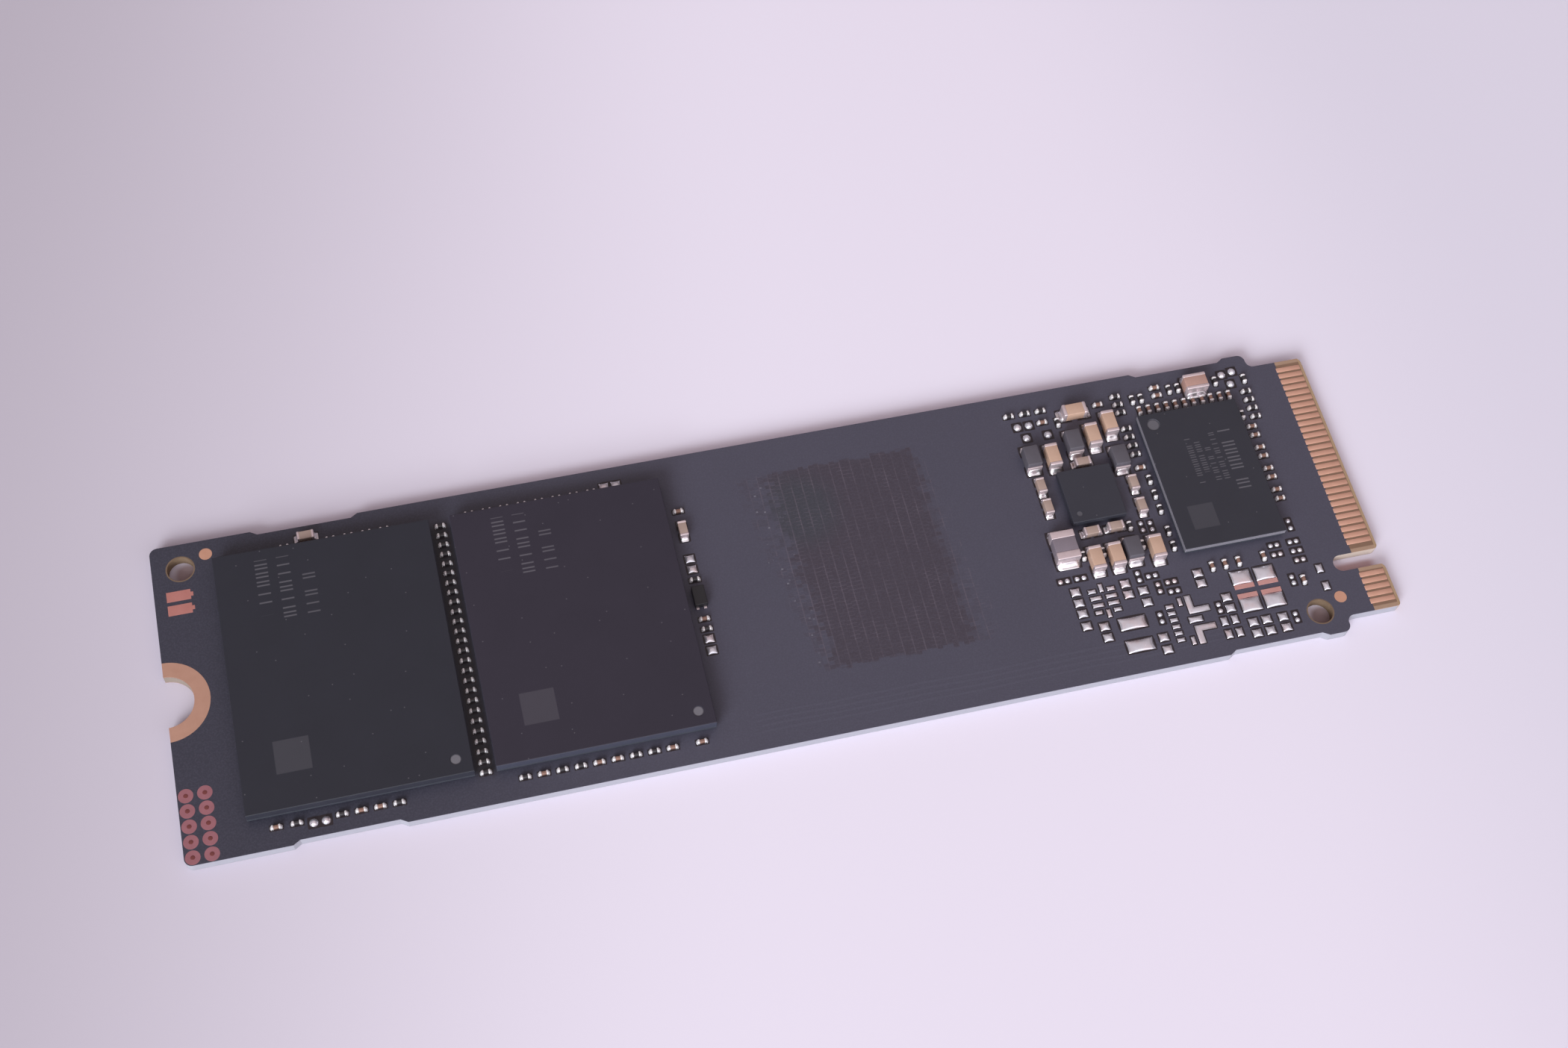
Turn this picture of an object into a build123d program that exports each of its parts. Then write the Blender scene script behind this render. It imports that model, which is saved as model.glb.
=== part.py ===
from build123d import *
import os

# A plug-in storage card, in millimetres: X runs along the card to its plug end,
# Y across it to its far side, and Z up from its lower face.

# Board plate
board_length = 80.0
board_width = 22.0
board_thickness = 0.8
corner_radius = 0.5

# Shallow recesses where the card was broken from its panel
recess_depth = 0.27
recess_length = 7.0
recess_slope = 0.45
recess_mount_distance = 10.0  # from the mounting end to the recess's middle
recess_plug_distance = 9.05  # from the plug end to the recess's middle

# Plug tongue, its bevelled edge and the key slot
tongue_length = 4.0
shoulder_width = 1.075  # step from the board's side to the tongue's
shoulder_fillet = 0.5
plug_corner_radius = 0.35  # on the tongue's sides and the key slot's mouth
bevel_run = 0.24
bevel_drop = 0.14
key_offset = 6.125  # from the centre line to the near side
key_width = 1.2
key_depth = 3.5

# Gold contacts and bare copper, let into the board's faces
copper_thickness = 0.035
contact_pitch = 0.5
contact_width = 0.35
contact_length = 1.77
contact_setback = 0.28
contact_clearance = 0.3  # least distance to the tongue's sides and the key slot

# Mounting end
screw_notch_radius = 1.75
screw_pad_radius = 2.75
tooling_hole_radius = 0.85
mount_hole_distance = 1.84
mount_hole_margin = 1.81
plug_hole_distance = 5.62
plug_hole_margin = 1.75
mark_radius = 0.42
mount_mark_distance = 3.53
mount_mark_margin = 1.03
plug_mark_distance = 3.9
plug_mark_margin = 2.5
earth_pad_length = 1.54
earth_pad_width = 0.73
earth_pad_pitch = 0.99
earth_pad_distance = 1.54
earth_pad_margin = 3.71
earth_tab_length = 0.16
earth_tab_width = 0.3
test_point_radius = 0.47
test_hole_radius = 0.12
test_point_columns = 2
test_point_rows = 5
test_column_pitch = 1.16
test_row_pitch = 1.01
test_point_distance = 0.53
test_point_margin = 0.5

# Memory packages
flash_width = 14.0
flash_length = 18.0
flash_cap_height = 0.7
flash_plate_height = 0.18
flash_distance = 4.0  # from the mounting end to the first package
flash_gap = 1.35
flash_ball_pitch = 1.0
flash_ball_columns = 3  # in each of the two banks
flash_ball_rows = 14
flash_ball_radius = 0.24
flash_mark_radius = 0.36
flash_mark_inset = 1.0

# Controller package
controller_width = 7.2
controller_length = 10.6
controller_cap_height = 0.42
controller_plate_height = 0.16
controller_distance = 6.1  # from the plug end to the package
controller_offset = 1.95  # from the centre line to the package's middle
controller_ball_pitch = 0.72
controller_ball_columns = 9
controller_ball_rows = 14
controller_ball_radius = 0.17
controller_mark_radius = 0.46
controller_mark_inset = 0.9

# Power chip
power_width = 3.8
power_length = 4.0
power_height = 0.5
power_gap = 3.0  # to the controller
power_offset = 0.2  # from the controller's middle
power_ball_pitch = 0.7
power_ball_columns = 5
power_ball_rows = 5
power_ball_radius = 0.16
power_mark_radius = 0.22
power_mark_inset = 0.62

# Shared by all packages that stand on solder balls
ball_height = 0.22
mark_depth = 0.03

# Small switch chip
switch_width = 0.85
switch_length = 1.4
switch_height = 0.45
switch_lead_width = 0.2
switch_lead_length = 0.3
switch_lead_reach = 0.1
switch_lead_height = 0.1
switch_lead_pitch = 0.5

# Chip parts: a body between two end caps
tiny_length = 0.6
tiny_width = 0.3
tiny_height = 0.3
tiny_cap = 0.16
small_length = 1.1
small_width = 0.6
small_height = 0.58
small_cap = 0.17
medium_length = 1.7
medium_width = 0.9
medium_height = 0.85
medium_cap = 0.26
wide_length = 1.2
wide_width = 1.65
wide_height = 0.95
wide_cap = 0.26
filter_length = 2.1
filter_width = 1.65
filter_height = 0.92
filter_cap = 0.55

# Coils: a body between two lower end plates
coil_length = 1.7
coil_width = 1.05
coil_height = 0.95
coil_plate = 0.1
coil_plate_height = 0.6

# Solder on lands without a part
land_length = 0.65
land_width = 0.57
tall_land_length = 0.45
tall_land_width = 0.62
wide_land_length = 1.88
wide_land_width = 0.88
coil_land_length = 1.4
coil_land_width = 1.02
coil_land_copper = 0.33
land_solder_height = 0.07
dot_radius = 0.17
dot_height = 0.1
blob_radius = 0.28
blob_height = 0.14
bar_length = 0.78
short_bar_length = 0.54
bar_width = 0.27
upright_bar_length = 0.6
angle_land_length = 1.45
angle_land_depth = 1.32
angle_land_width = 0.42

# Parts along the memory packages, from each package's middle
flash_row_gap = 0.67  # from a package's near edge to the middle of the row
flash_back_gap = 0.38  # from a package's far edge
back_land_gap = 0.62
flash_row_pitch = 1.17
first_front_capacitors = [-5.35, -0.17, 1.0]
first_front_resistors = [-4.1, -1.34, 2.17]
first_front_blobs = [-3.1, -2.34]
first_blob_gap = 0.83
first_back_start = 0.55
first_back_count = 4
first_back_single = -2.45
first_back_small = -0.98
first_small_gap = 0.8
second_front_start = -5.35
second_front_count = 9
second_front_single = 5.9
second_front_capacitors = [1, 4, 5, 8]
second_back_start = -5.68
second_back_count = 8
second_back_lands = [3.45, 4.25]
between_pitch = 0.708
between_count = 26

# Column beside the second package, along Y
side_column_gap = 0.9
side_capacitors = [6.75, -1.35]
side_resistors = [1.55, -2.08]
side_small_capacitor = 5.24
side_switch = 0.2
side_lands = [3.15, 2.37, -2.77, -3.6]

# Parts beyond the power chip's far edge: across from its right edge, out from its far edge
power_far_medium = [(-3.57, 1.39), (-0.37, 2.42), (1.05, 3.14)]
power_far_coils = [(-5.05, 1.54), (-1.85, 2.19), (0.92, 0.39)]
power_far_flat_medium = (-1.08, 4.54)
power_far_flat_small = (-1.65, 0.61)
power_far_row_start = -5.55
power_far_row_pitch = 1.15
power_far_row_count = 3
power_far_row_out = 5.22
power_far_flat_tiny = [(-3.4, 4.31), (0.84, 4.9)]
power_far_upright_tiny = (-2.35, 4.1)
power_far_blobs = [(-5.18, 4.3), (-4.36, 4.3), (-4.78, 3.36), (-3.26, 3.33)]

# Columns on both sides of the power chip, along Y from its middle
power_left_gap = 1.2
power_left_small = [1.39, -0.26]
power_right_gap = 1.3
power_right_small = [0.36, -1.44]

# Parts on the power chip's near side: across from its right edge, out from its near edge
power_near_small = [(-2.65, 0.64), (-0.95, 0.6)]
power_near_tiny = (0.08, 0.66)
power_near_filter = (-4.86, 1.48)
power_near_row_start = -3.7  # middle of the first tiny part of the row
power_near_row_pairs = 2  # a tiny part and a medium capacitor each
power_near_row_out = 2.76
power_near_tiny_out = 2.2
power_near_coil_out = 2.54
power_row_gap = 0.1
power_coil_gap = 0.26
power_tiny_gap = 0.17

# Bare lands near the power chip: across from its right edge, out from its near edge
power_dot_pairs = [(0.9, 0.61), (1.55, 0.69), (-0.5, 4.17), (0.6, 5.24), (0.02, 7.39)]
power_dot_pair_pitch = 0.51
power_dot_rows = [(-5.76, 3.74), (-4.6, 3.74), (0.17, 4.54), (1.3, 5.22), (1.3, 5.92)]
power_dot_row_pitch = 0.48
power_lands = [
    (-5.0, 4.67), (-5.0, 5.48), (-5.0, 6.27), (-5.0, 7.2),
    (-1.55, 4.74), (-1.55, 5.54), (-0.5, 5.47), (-0.5, 6.34),
    (-3.86, 7.47), (-3.86, 8.27), (-0.25, 9.02), (-0.25, 9.91),
]
power_wide_lands = [(-1.94, 7.59), (-1.94, 9.24)]

# Two chip footprints without a chip
ring_across = -3.25
ring_out = 5.64
ring_row_pitch = 0.52
ring_bar_reach = 0.54
ring_short_bar_reach = 0.66
ring_upright_reach = 0.95
comb_across = 0.83
comb_out = 8.21
comb_bars = 6
comb_bar_pitch = 0.49
comb_upright_across = 0.8
comb_upright_reach = 1.44
comb_middle_across = 1.44
comb_middle_length = 0.98
comb_angle_across = 1.17
comb_angle_reach = 0.66

# Tiny parts around the controller
left_flat_gap = 0.77
left_flat_upper_start = 7.48
left_flat_upper_pitch = 0.66
left_flat_upper_count = 3
left_flat_lower_start = 4.85
left_flat_lower_pitch = 0.69
left_flat_lower_count = 4
left_flat_single = 1.7
left_upright_gap = 0.47
left_upright_starts = [0.68, -3.35]
left_upright_counts = [3, 2]
left_upright_pitch = 1.17
far_row_gap = 0.75
far_row_start = -3.02
far_row_pitch = 0.66
far_row_count = 11
far_upright = [(-3.26, 1.7), (-2.62, 1.7), (-0.45, 2.0), (0.2, 2.0), (2.98, 2.0)]
far_flat = [(-1.42, 2.33), (-1.42, 1.7)]
far_wide_left = 0.53  # left side of the wide capacitor
far_wide_out = 1.88
far_blobs = [(3.65, 2.43), (4.45, 2.55), (4.05, 1.6)]
right_flat_gap = 1.3
right_flat_start = 6.07
right_flat_pitch = 0.69
right_flat_count = 4
right_upright = [(1.48, 7.1), (0.38, 4.3)]
right_pair_gap = 0.73
right_pair_start = 3.26
right_pair_pitch = 1.7
right_pair_step = 0.7
right_pair_count = 4
right_dots = [(0.68, -4.29), (0.68, -4.85)]

# Parts and bare lands on the controller's near side: across from its middle, out from its edge
near_upright = [(-2.0, 1.23), (-1.08, 1.23), (-0.12, 1.23), (1.68, 1.2), (3.75, 3.45)]
near_dots = [(2.45, 0.55), (2.45, 1.25), (3.85, 0.55), (3.85, 1.25), (3.85, 1.95)]
near_dot_pitch = 0.46
near_dot_pairs = [(3.06, 3.06), (-2.5, 4.0), (2.35, 5.7)]
near_lands = [
    (-3.1, 1.49), (-3.1, 2.25), (-1.78, 3.6), (-1.78, 4.4),
    (-0.62, 5.7), (-0.62, 6.52), (0.33, 5.7), (0.33, 6.52), (1.47, 5.74), (1.47, 6.52),
]
near_tall_lands = [(5.14, 2.85), (5.14, 4.18), (-2.5, 5.25), (-1.75, 5.25), (-2.5, 6.2), (-1.75, 6.2)]
coil_land_columns = [-0.33, 1.35]
coil_land_rows = [2.55, 4.25]

# Edges and middles that the pieces are placed from
mount_end = -board_length / 2
plug_end = board_length / 2
shoulder_x = plug_end - tongue_length
far_side = board_width / 2
near_side = -board_width / 2
tongue_side = far_side - shoulder_width
first_flash_x = mount_end + flash_distance + flash_width / 2
second_flash_x = first_flash_x + flash_width + flash_gap
controller_right = plug_end - controller_distance
controller_left = controller_right - controller_width
controller_x = controller_right - controller_width / 2
controller_far = controller_offset + controller_length / 2
controller_near = controller_offset - controller_length / 2
power_right = controller_left - power_gap
power_left = power_right - power_width
power_x = power_right - power_width / 2
power_y = controller_offset + power_offset
power_far = power_y + power_length / 2
power_near = power_y - power_length / 2

placed = {}  # kind of part: its places as (x, y, turned)


def place(kind, x, y, turned=False):
    placed.setdefault(kind, []).append((x, y, turned))


def place_run(kind, x, y, count, step_x=0.0, step_y=0.0, turned=False):
    for number in range(count):
        place(kind, x + number * step_x, y + number * step_y, turned)


def block(x, y, base, length, width, height, turned=False):
    size_x, size_y = (width, length) if turned else (length, width)
    stand = (Align.CENTER, Align.CENTER, Align.MIN)
    return Pos(x, y, base) * Box(size_x, size_y, height, align=stand)


def disc(x, y, base, radius, height):
    stand = (Align.CENTER, Align.CENTER, Align.MIN)
    return Pos(x, y, base) * Cylinder(radius, height, align=stand)


def shifted(x, y, along, turned):
    return (x, y + along) if turned else (x + along, y)


def write(name, solids):
    export_step(Compound(list(solids)), os.path.join("parts", name + ".step"))


# Board

def recess_cut(middle, side):
    edge = far_side * side
    floor = edge - recess_depth * side
    half = recess_length / 2
    corners = [
        (middle - half, edge),
        (middle - half + recess_slope, floor),
        (middle + half - recess_slope, floor),
        (middle + half, edge),
    ]
    return make_face(Polyline(*corners, close=True))


def key_cut():
    straight = key_depth - key_width / 2
    slot = Pos(plug_end - straight / 2, -key_offset) * Rectangle(straight, key_width)
    return slot + Pos(plug_end - straight, -key_offset) * Circle(key_width / 2)


def board_outline():
    body_length = board_length - tongue_length
    body = Pos(mount_end + body_length / 2, 0) * Rectangle(body_length, board_width)
    tongue = Pos(shoulder_x + tongue_length / 2, 0) * Rectangle(tongue_length, 2 * tongue_side)
    outline = body + tongue
    outer = [v for v in outline.vertices() if abs(v.Y) > tongue_side + shoulder_width / 2]
    outline = fillet(outer, corner_radius)
    tolerance = shoulder_width / 10
    inner = [
        v for v in outline.vertices()
        if abs(v.X - shoulder_x) < tolerance and abs(abs(v.Y) - tongue_side) < tolerance
    ]
    outline = fillet(inner, shoulder_fillet)
    for side in (1, -1):
        outline -= recess_cut(mount_end + recess_mount_distance, side)
        outline -= recess_cut(plug_end - recess_plug_distance, side)
    outline -= key_cut()
    plug_corners = [v for v in outline.vertices() if abs(v.X - plug_end) < tolerance]
    outline = fillet(plug_corners, plug_corner_radius)
    outline -= Pos(mount_end, 0) * Circle(screw_notch_radius)
    tooling_hole = Circle(tooling_hole_radius)
    outline -= Pos(mount_end + mount_hole_distance, far_side - mount_hole_margin) * tooling_hole
    outline -= Pos(plug_end - plug_hole_distance, near_side + plug_hole_margin) * tooling_hole
    return outline


def bevel_cut(upper):
    face = board_thickness if upper else 0.0
    inward = -bevel_drop if upper else bevel_drop
    corners = [(plug_end - bevel_run, face), (plug_end, face), (plug_end, face + inward)]
    section = Plane.XZ * make_face(Polyline(*corners, close=True))
    return extrude(section, amount=board_width, both=True)


def contact_rows(first):
    rows = []
    reach = contact_width / 2 + contact_clearance
    for number in range(-int(board_width / contact_pitch), int(board_width / contact_pitch)):
        y = (number + first) * contact_pitch
        if abs(y) + reach < tongue_side and abs(y + key_offset) > key_width / 2 + reach:
            rows.append(y)
    return rows


def inlay(sketch, upper):
    base = board_thickness - copper_thickness if upper else 0.0
    return Pos(0, 0, base) * extrude(sketch, amount=copper_thickness)


def contacts(first, upper):
    x = plug_end - contact_setback - contact_length / 2
    pads = [Pos(x, y) * Rectangle(contact_length, contact_width) for y in contact_rows(first)]
    return inlay(Sketch() + pads, upper)


def screw_pad(upper):
    ring = Circle(screw_pad_radius) - Circle(screw_notch_radius)
    half = Pos(screw_pad_radius / 2, 0) * Rectangle(screw_pad_radius, 2 * screw_pad_radius)
    return inlay(Pos(mount_end, 0) * (ring & half), upper)


def alignment_marks():
    mount_mark = Pos(mount_end + mount_mark_distance, far_side - mount_mark_margin) * Circle(mark_radius)
    plug_mark = Pos(plug_end - plug_mark_distance, near_side + plug_mark_margin) * Circle(mark_radius)
    return inlay(Sketch() + [mount_mark, plug_mark], True)


def earth_pads():
    x = mount_end + earth_pad_distance
    rows = [far_side - earth_pad_margin - number * earth_pad_pitch for number in range(2)]
    plate = Rectangle(earth_pad_length, earth_pad_width)
    tab = Pos((earth_pad_length + earth_tab_length) / 2, 0) * Rectangle(earth_tab_length, earth_tab_width)
    return inlay(Sketch() + [Pos(x, y) * (plate + tab) for y in rows], True)


def test_points():
    ring = Circle(test_point_radius) - Circle(test_hole_radius)
    rings = []
    for column in range(test_point_columns):
        for row in range(test_point_rows):
            x = mount_end + test_point_distance + column * test_column_pitch
            y = near_side + test_point_margin + row * test_row_pitch
            rings.append(Pos(x, y) * ring)
    return inlay(Sketch() + rings, True)


def make_board():
    inlays = {
        "contacts_upper": contacts(0.5, True),
        "contacts_lower": contacts(0.0, False),
        "screw_pad_upper": screw_pad(True),
        "screw_pad_lower": screw_pad(False),
        "alignment_marks": alignment_marks(),
        "earth_pads": earth_pads(),
        "test_points": test_points(),
    }
    board = extrude(board_outline(), amount=board_thickness)
    board -= [bevel_cut(True), bevel_cut(False)]
    for name, plates in inlays.items():
        board -= plates
        write(name, plates.solids())
    write("circuit_board", board.solids())


# Packages

def balls(x, y, columns, rows, pitch, radius):
    stems = []
    for column in columns:
        for row in range(rows):
            spot = Pos(x + column, y + (row - (rows - 1) / 2) * pitch, board_thickness)
            stems.append(spot * extrude(RegularPolygon(radius, 6), amount=ball_height))
    return stems


def marked_cap(x, y, base, width, length, height, mark, mark_radius_here):
    cap = block(x, y, base, width, length, height)
    return cap - disc(mark[0], mark[1], base + height - mark_depth, mark_radius_here, mark_depth)


def make_flash(name, x):
    bank_middle = flash_width / 4
    columns = []
    for bank in (-1, 1):
        for number in range(flash_ball_columns):
            offset = (number - (flash_ball_columns - 1) / 2) * flash_ball_pitch
            columns.append(bank * bank_middle + offset)
    base = board_thickness + ball_height
    mark = (x + flash_width / 2 - flash_mark_inset, -flash_length / 2 + flash_mark_inset)
    cap_base = base + flash_plate_height
    cap = marked_cap(x, 0, cap_base, flash_width, flash_length, flash_cap_height, mark, flash_mark_radius)
    write(name + "_balls", balls(x, 0, columns, flash_ball_rows, flash_ball_pitch, flash_ball_radius))
    write(name + "_plate", [block(x, 0, base, flash_width, flash_length, flash_plate_height)])
    write(name + "_cap", cap.solids())


def make_controller():
    middle = (controller_ball_columns - 1) / 2
    edge_rows = (controller_ball_rows - 1) * controller_ball_pitch / 2
    columns = [(number - middle) * controller_ball_pitch for number in range(controller_ball_columns)]
    place_y = controller_offset
    outer = balls(
        controller_x, place_y, [columns[0], columns[-1]],
        controller_ball_rows, controller_ball_pitch, controller_ball_radius,
    )
    for side in (-1, 1):
        y = place_y + side * edge_rows
        outer += balls(controller_x, y, columns[1:-1], 1, controller_ball_pitch, controller_ball_radius)
    base = board_thickness + ball_height
    mark = (controller_left + controller_mark_inset, controller_far - controller_mark_inset)
    cap = marked_cap(
        controller_x, place_y, base + controller_plate_height,
        controller_width, controller_length, controller_cap_height, mark, controller_mark_radius,
    )
    plate = block(controller_x, place_y, base, controller_width, controller_length, controller_plate_height)
    write("controller_balls", outer)
    write("controller_plate", [plate])
    write("controller_cap", cap.solids())


def make_power_chip():
    middle = (power_ball_columns - 1) / 2
    columns = [(number - middle) * power_ball_pitch for number in range(power_ball_columns)]
    mark = (power_left + power_mark_inset, power_near + power_mark_inset)
    body = marked_cap(
        power_x, power_y, board_thickness + ball_height,
        power_width, power_length, power_height, mark, power_mark_radius,
    )
    grid = balls(power_x, power_y, columns, power_ball_rows, power_ball_pitch, power_ball_radius)
    write("power_chip_balls", grid)
    write("power_chip_body", body.solids())


def make_switch_chip():
    x = second_flash_x + flash_width / 2 + side_column_gap
    base = board_thickness + switch_lead_height
    body = block(x, side_switch, base, switch_width, switch_length, switch_height)
    leads = []
    reach = switch_length / 2 + switch_lead_reach - switch_lead_length / 2
    for side in (-1, 1):
        for half in (-0.5, 0.5):
            lead_x = x + half * switch_lead_pitch
            lead_y = side_switch + side * reach
            leads.append(block(
                lead_x, lead_y, board_thickness, switch_lead_width, switch_lead_length, switch_lead_height,
            ))
    write("switch_chip_body", [body])
    write("switch_chip_leads", leads)


# Where the chip parts and bare lands stand

def furnish_flash_rows():
    front = -flash_length / 2 - flash_row_gap
    back = flash_length / 2 + flash_back_gap
    for along in first_front_capacitors:
        place("tiny_capacitor", first_flash_x + along, front)
    for along in first_front_resistors:
        place("tiny_resistor", first_flash_x + along, front)
    for along in first_front_blobs:
        place("solder_blob", first_flash_x + along, -flash_length / 2 - first_blob_gap)
    place_run("tiny_resistor", first_flash_x + first_back_start, back, first_back_count, flash_row_pitch)
    place("tiny_resistor", first_flash_x + first_back_single, back)
    place("small_capacitor", first_flash_x + first_back_small, flash_length / 2 + first_small_gap)
    for number in range(second_front_count):
        kind = "tiny_capacitor" if number in second_front_capacitors else "tiny_resistor"
        place(kind, second_flash_x + second_front_start + number * flash_row_pitch, front)
    place("tiny_capacitor", second_flash_x + second_front_single, front)
    place_run("tiny_resistor", second_flash_x + second_back_start, back, second_back_count, flash_row_pitch)
    for along in second_back_lands:
        place("solder_land", second_flash_x + along, flash_length / 2 + back_land_gap)
    between_x = (first_flash_x + second_flash_x) / 2
    between_start = (between_count - 1) / 2 * between_pitch
    place_run("tiny_resistor", between_x, between_start, between_count, step_y=-between_pitch)


def furnish_side_column():
    x = second_flash_x + flash_width / 2 + side_column_gap
    for y in side_capacitors:
        place("tiny_capacitor", x, y)
    for y in side_resistors:
        place("tiny_resistor", x, y)
    place("small_capacitor", x, side_small_capacitor, turned=True)
    for y in side_lands:
        place("solder_land", x, y)


def furnish_power_far():
    for across, out in power_far_medium:
        place("medium_capacitor", power_right + across, power_far + out, turned=True)
    for across, out in power_far_coils:
        place("coil", power_right + across, power_far + out, turned=True)
    across, out = power_far_flat_medium
    place("medium_capacitor", power_right + across, power_far + out)
    across, out = power_far_flat_small
    place("small_capacitor", power_right + across, power_far + out)
    row_y = power_far + power_far_row_out
    row_x = power_right + power_far_row_start
    place_run("tiny_resistor", row_x, row_y, power_far_row_count, power_far_row_pitch)
    for across, out in power_far_flat_tiny:
        place("tiny_capacitor", power_right + across, power_far + out)
    across, out = power_far_upright_tiny
    place("tiny_resistor", power_right + across, power_far + out, turned=True)
    for across, out in power_far_blobs:
        place("solder_blob", power_right + across, power_far + out)


def furnish_power_sides():
    for along in power_left_small:
        place("small_capacitor", power_left - power_left_gap, power_y + along, turned=True)
    for along in power_right_small:
        place("small_capacitor", power_right + power_right_gap, power_y + along, turned=True)


def furnish_power_near():
    for across, out in power_near_small:
        place("small_capacitor", power_right + across, power_near - out)
    across, out = power_near_tiny
    place("tiny_resistor", power_right + across, power_near - out, turned=True)
    across, out = power_near_filter
    place("filter_coil", power_right + across, power_near - out, turned=True)
    row_y = power_near - power_near_row_out
    tiny_y = power_near - power_near_tiny_out
    x = power_right + power_near_row_start
    for pair in range(power_near_row_pairs):
        place("tiny_resistor", x, tiny_y, turned=True)
        x += tiny_width / 2 + power_row_gap + medium_width / 2
        place("medium_capacitor", x, row_y, turned=True)
        x += medium_width / 2 + power_row_gap + tiny_width / 2
    x += power_coil_gap - power_row_gap - tiny_width / 2 + coil_width / 2
    place("coil", x, power_near - power_near_coil_out, turned=True)
    x += coil_width / 2 + power_tiny_gap + tiny_width / 2
    place("tiny_resistor", x, tiny_y, turned=True)
    x += tiny_width / 2 + power_tiny_gap + medium_width / 2
    place("medium_capacitor", x, row_y, turned=True)


def furnish_power_lands():
    for across, out in power_dot_pairs:
        for step in range(2):
            place("solder_dot", power_right + across, power_near - out - step * power_dot_pair_pitch)
    for across, out in power_dot_rows:
        for step in range(2):
            place("solder_dot", power_right + across + step * power_dot_row_pitch, power_near - out)
    for across, out in power_lands:
        place("solder_land", power_right + across, power_near - out)
    for across, out in power_wide_lands:
        place("wide_land", power_right + across, power_near - out)


def furnish_controller_left():
    flat_x = controller_left - left_flat_gap
    upper_y = controller_offset + left_flat_upper_start
    lower_y = controller_offset + left_flat_lower_start
    place_run("tiny_resistor", flat_x, upper_y, left_flat_upper_count, step_y=-left_flat_upper_pitch)
    place_run("tiny_resistor", flat_x, lower_y, left_flat_lower_count, step_y=-left_flat_lower_pitch)
    place("tiny_capacitor", flat_x, controller_offset + left_flat_single)
    upright_x = controller_left - left_upright_gap
    for start, count in zip(left_upright_starts, left_upright_counts):
        first_y = controller_offset + start
        place_run("tiny_resistor", upright_x, first_y, count, step_y=-left_upright_pitch, turned=True)


def furnish_controller_far():
    row_x = controller_x + far_row_start
    row_y = controller_far + far_row_gap
    place_run("tiny_capacitor", row_x, row_y, far_row_count, far_row_pitch, turned=True)
    for across, out in far_upright:
        place("tiny_resistor", controller_x + across, controller_far + out, turned=True)
    for across, out in far_flat:
        place("tiny_capacitor", controller_x + across, controller_far + out)
    wide_x = controller_x + far_wide_left + wide_width / 2
    place("wide_capacitor", wide_x, controller_far + far_wide_out, turned=True)
    for across, out in far_blobs:
        place("solder_blob", controller_x + across, controller_far + out)


def furnish_controller_right():
    flat_x = controller_right + right_flat_gap
    flat_y = controller_offset + right_flat_start
    place_run("tiny_resistor", flat_x, flat_y, right_flat_count, step_y=-right_flat_pitch)
    for out, along in right_upright:
        place("tiny_resistor", controller_right + out, controller_offset + along, turned=True)
    for pair in range(right_pair_count):
        pair_y = controller_offset + right_pair_start - pair * right_pair_pitch
        place_run("tiny_capacitor", controller_right + right_pair_gap, pair_y, 2, step_y=-right_pair_step)
    for out, along in right_dots:
        place("solder_dot", controller_right + out, controller_offset + along)


def furnish_controller_near():
    for across, out in near_upright:
        place("tiny_capacitor", controller_x + across, controller_near - out, turned=True)
    for across, out in near_dots:
        for step in range(2):
            place("solder_dot", controller_x + across + step * near_dot_pitch, controller_near - out)
    for across, out in near_dot_pairs:
        for step in range(2):
            place("solder_dot", controller_x + across, controller_near - out - step * near_dot_pitch)
    for across, out in near_lands:
        place("solder_land", controller_x + across, controller_near - out)
    for across, out in near_tall_lands:
        place("tall_land", controller_x + across, controller_near - out)


# Chip parts and solder

def make_capped_chips(kind, length, width, height, cap):
    bodies = []
    caps = []
    for x, y, turned in placed[kind]:
        bodies.append(block(x, y, board_thickness, length - 2 * cap, width, height, turned))
        for side in (-1, 1):
            cap_x, cap_y = shifted(x, y, side * (length - cap) / 2, turned)
            caps.append(block(cap_x, cap_y, board_thickness, cap, width, height, turned))
    write(kind + "_bodies", bodies)
    write(kind + "_caps", caps)


def make_coils():
    bodies = []
    plates = []
    for x, y, turned in placed["coil"]:
        body_length = coil_length - 2 * coil_plate
        bodies.append(block(x, y, board_thickness, body_length, coil_width, coil_height, turned))
        for side in (-1, 1):
            plate_x, plate_y = shifted(x, y, side * (coil_length - coil_plate) / 2, turned)
            plates.append(block(
                plate_x, plate_y, board_thickness, coil_plate, coil_width, coil_plate_height, turned,
            ))
    write("coil_bodies", bodies)
    write("coil_plates", plates)


def make_lands():
    sizes = {
        "solder_land": (land_length, land_width),
        "tall_land": (tall_land_length, tall_land_width),
        "wide_land": (wide_land_length, wide_land_width),
    }
    for kind, (length, width) in sizes.items():
        tiles = [
            block(x, y, board_thickness, length, width, land_solder_height)
            for x, y, turned in placed[kind]
        ]
        write(kind + "s", tiles)
    for kind, radius, height in (
        ("solder_dot", dot_radius, dot_height),
        ("solder_blob", blob_radius, blob_height),
    ):
        write(kind + "s", [disc(x, y, board_thickness, radius, height) for x, y, turned in placed[kind]])


def make_coil_lands():
    solder = []
    copper = []
    middle = sum(coil_land_rows) / len(coil_land_rows)
    for across in coil_land_columns:
        for out in coil_land_rows:
            x = controller_x + across
            y = controller_near - out
            inward = -1 if out < middle else 1
            solder_y = y - inward * coil_land_copper / 2
            copper_y = y + inward * coil_land_width / 2
            solder.append(block(
                x, solder_y, board_thickness, coil_land_length, coil_land_width, land_solder_height,
            ))
            copper.append(block(
                x, copper_y, board_thickness, coil_land_length, coil_land_copper, copper_thickness,
            ))
    write("coil_land_solder", solder)
    write("coil_land_copper", copper)


def land_plate(x, y, length, width):
    return block(x, y, board_thickness, length, width, land_solder_height)


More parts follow.
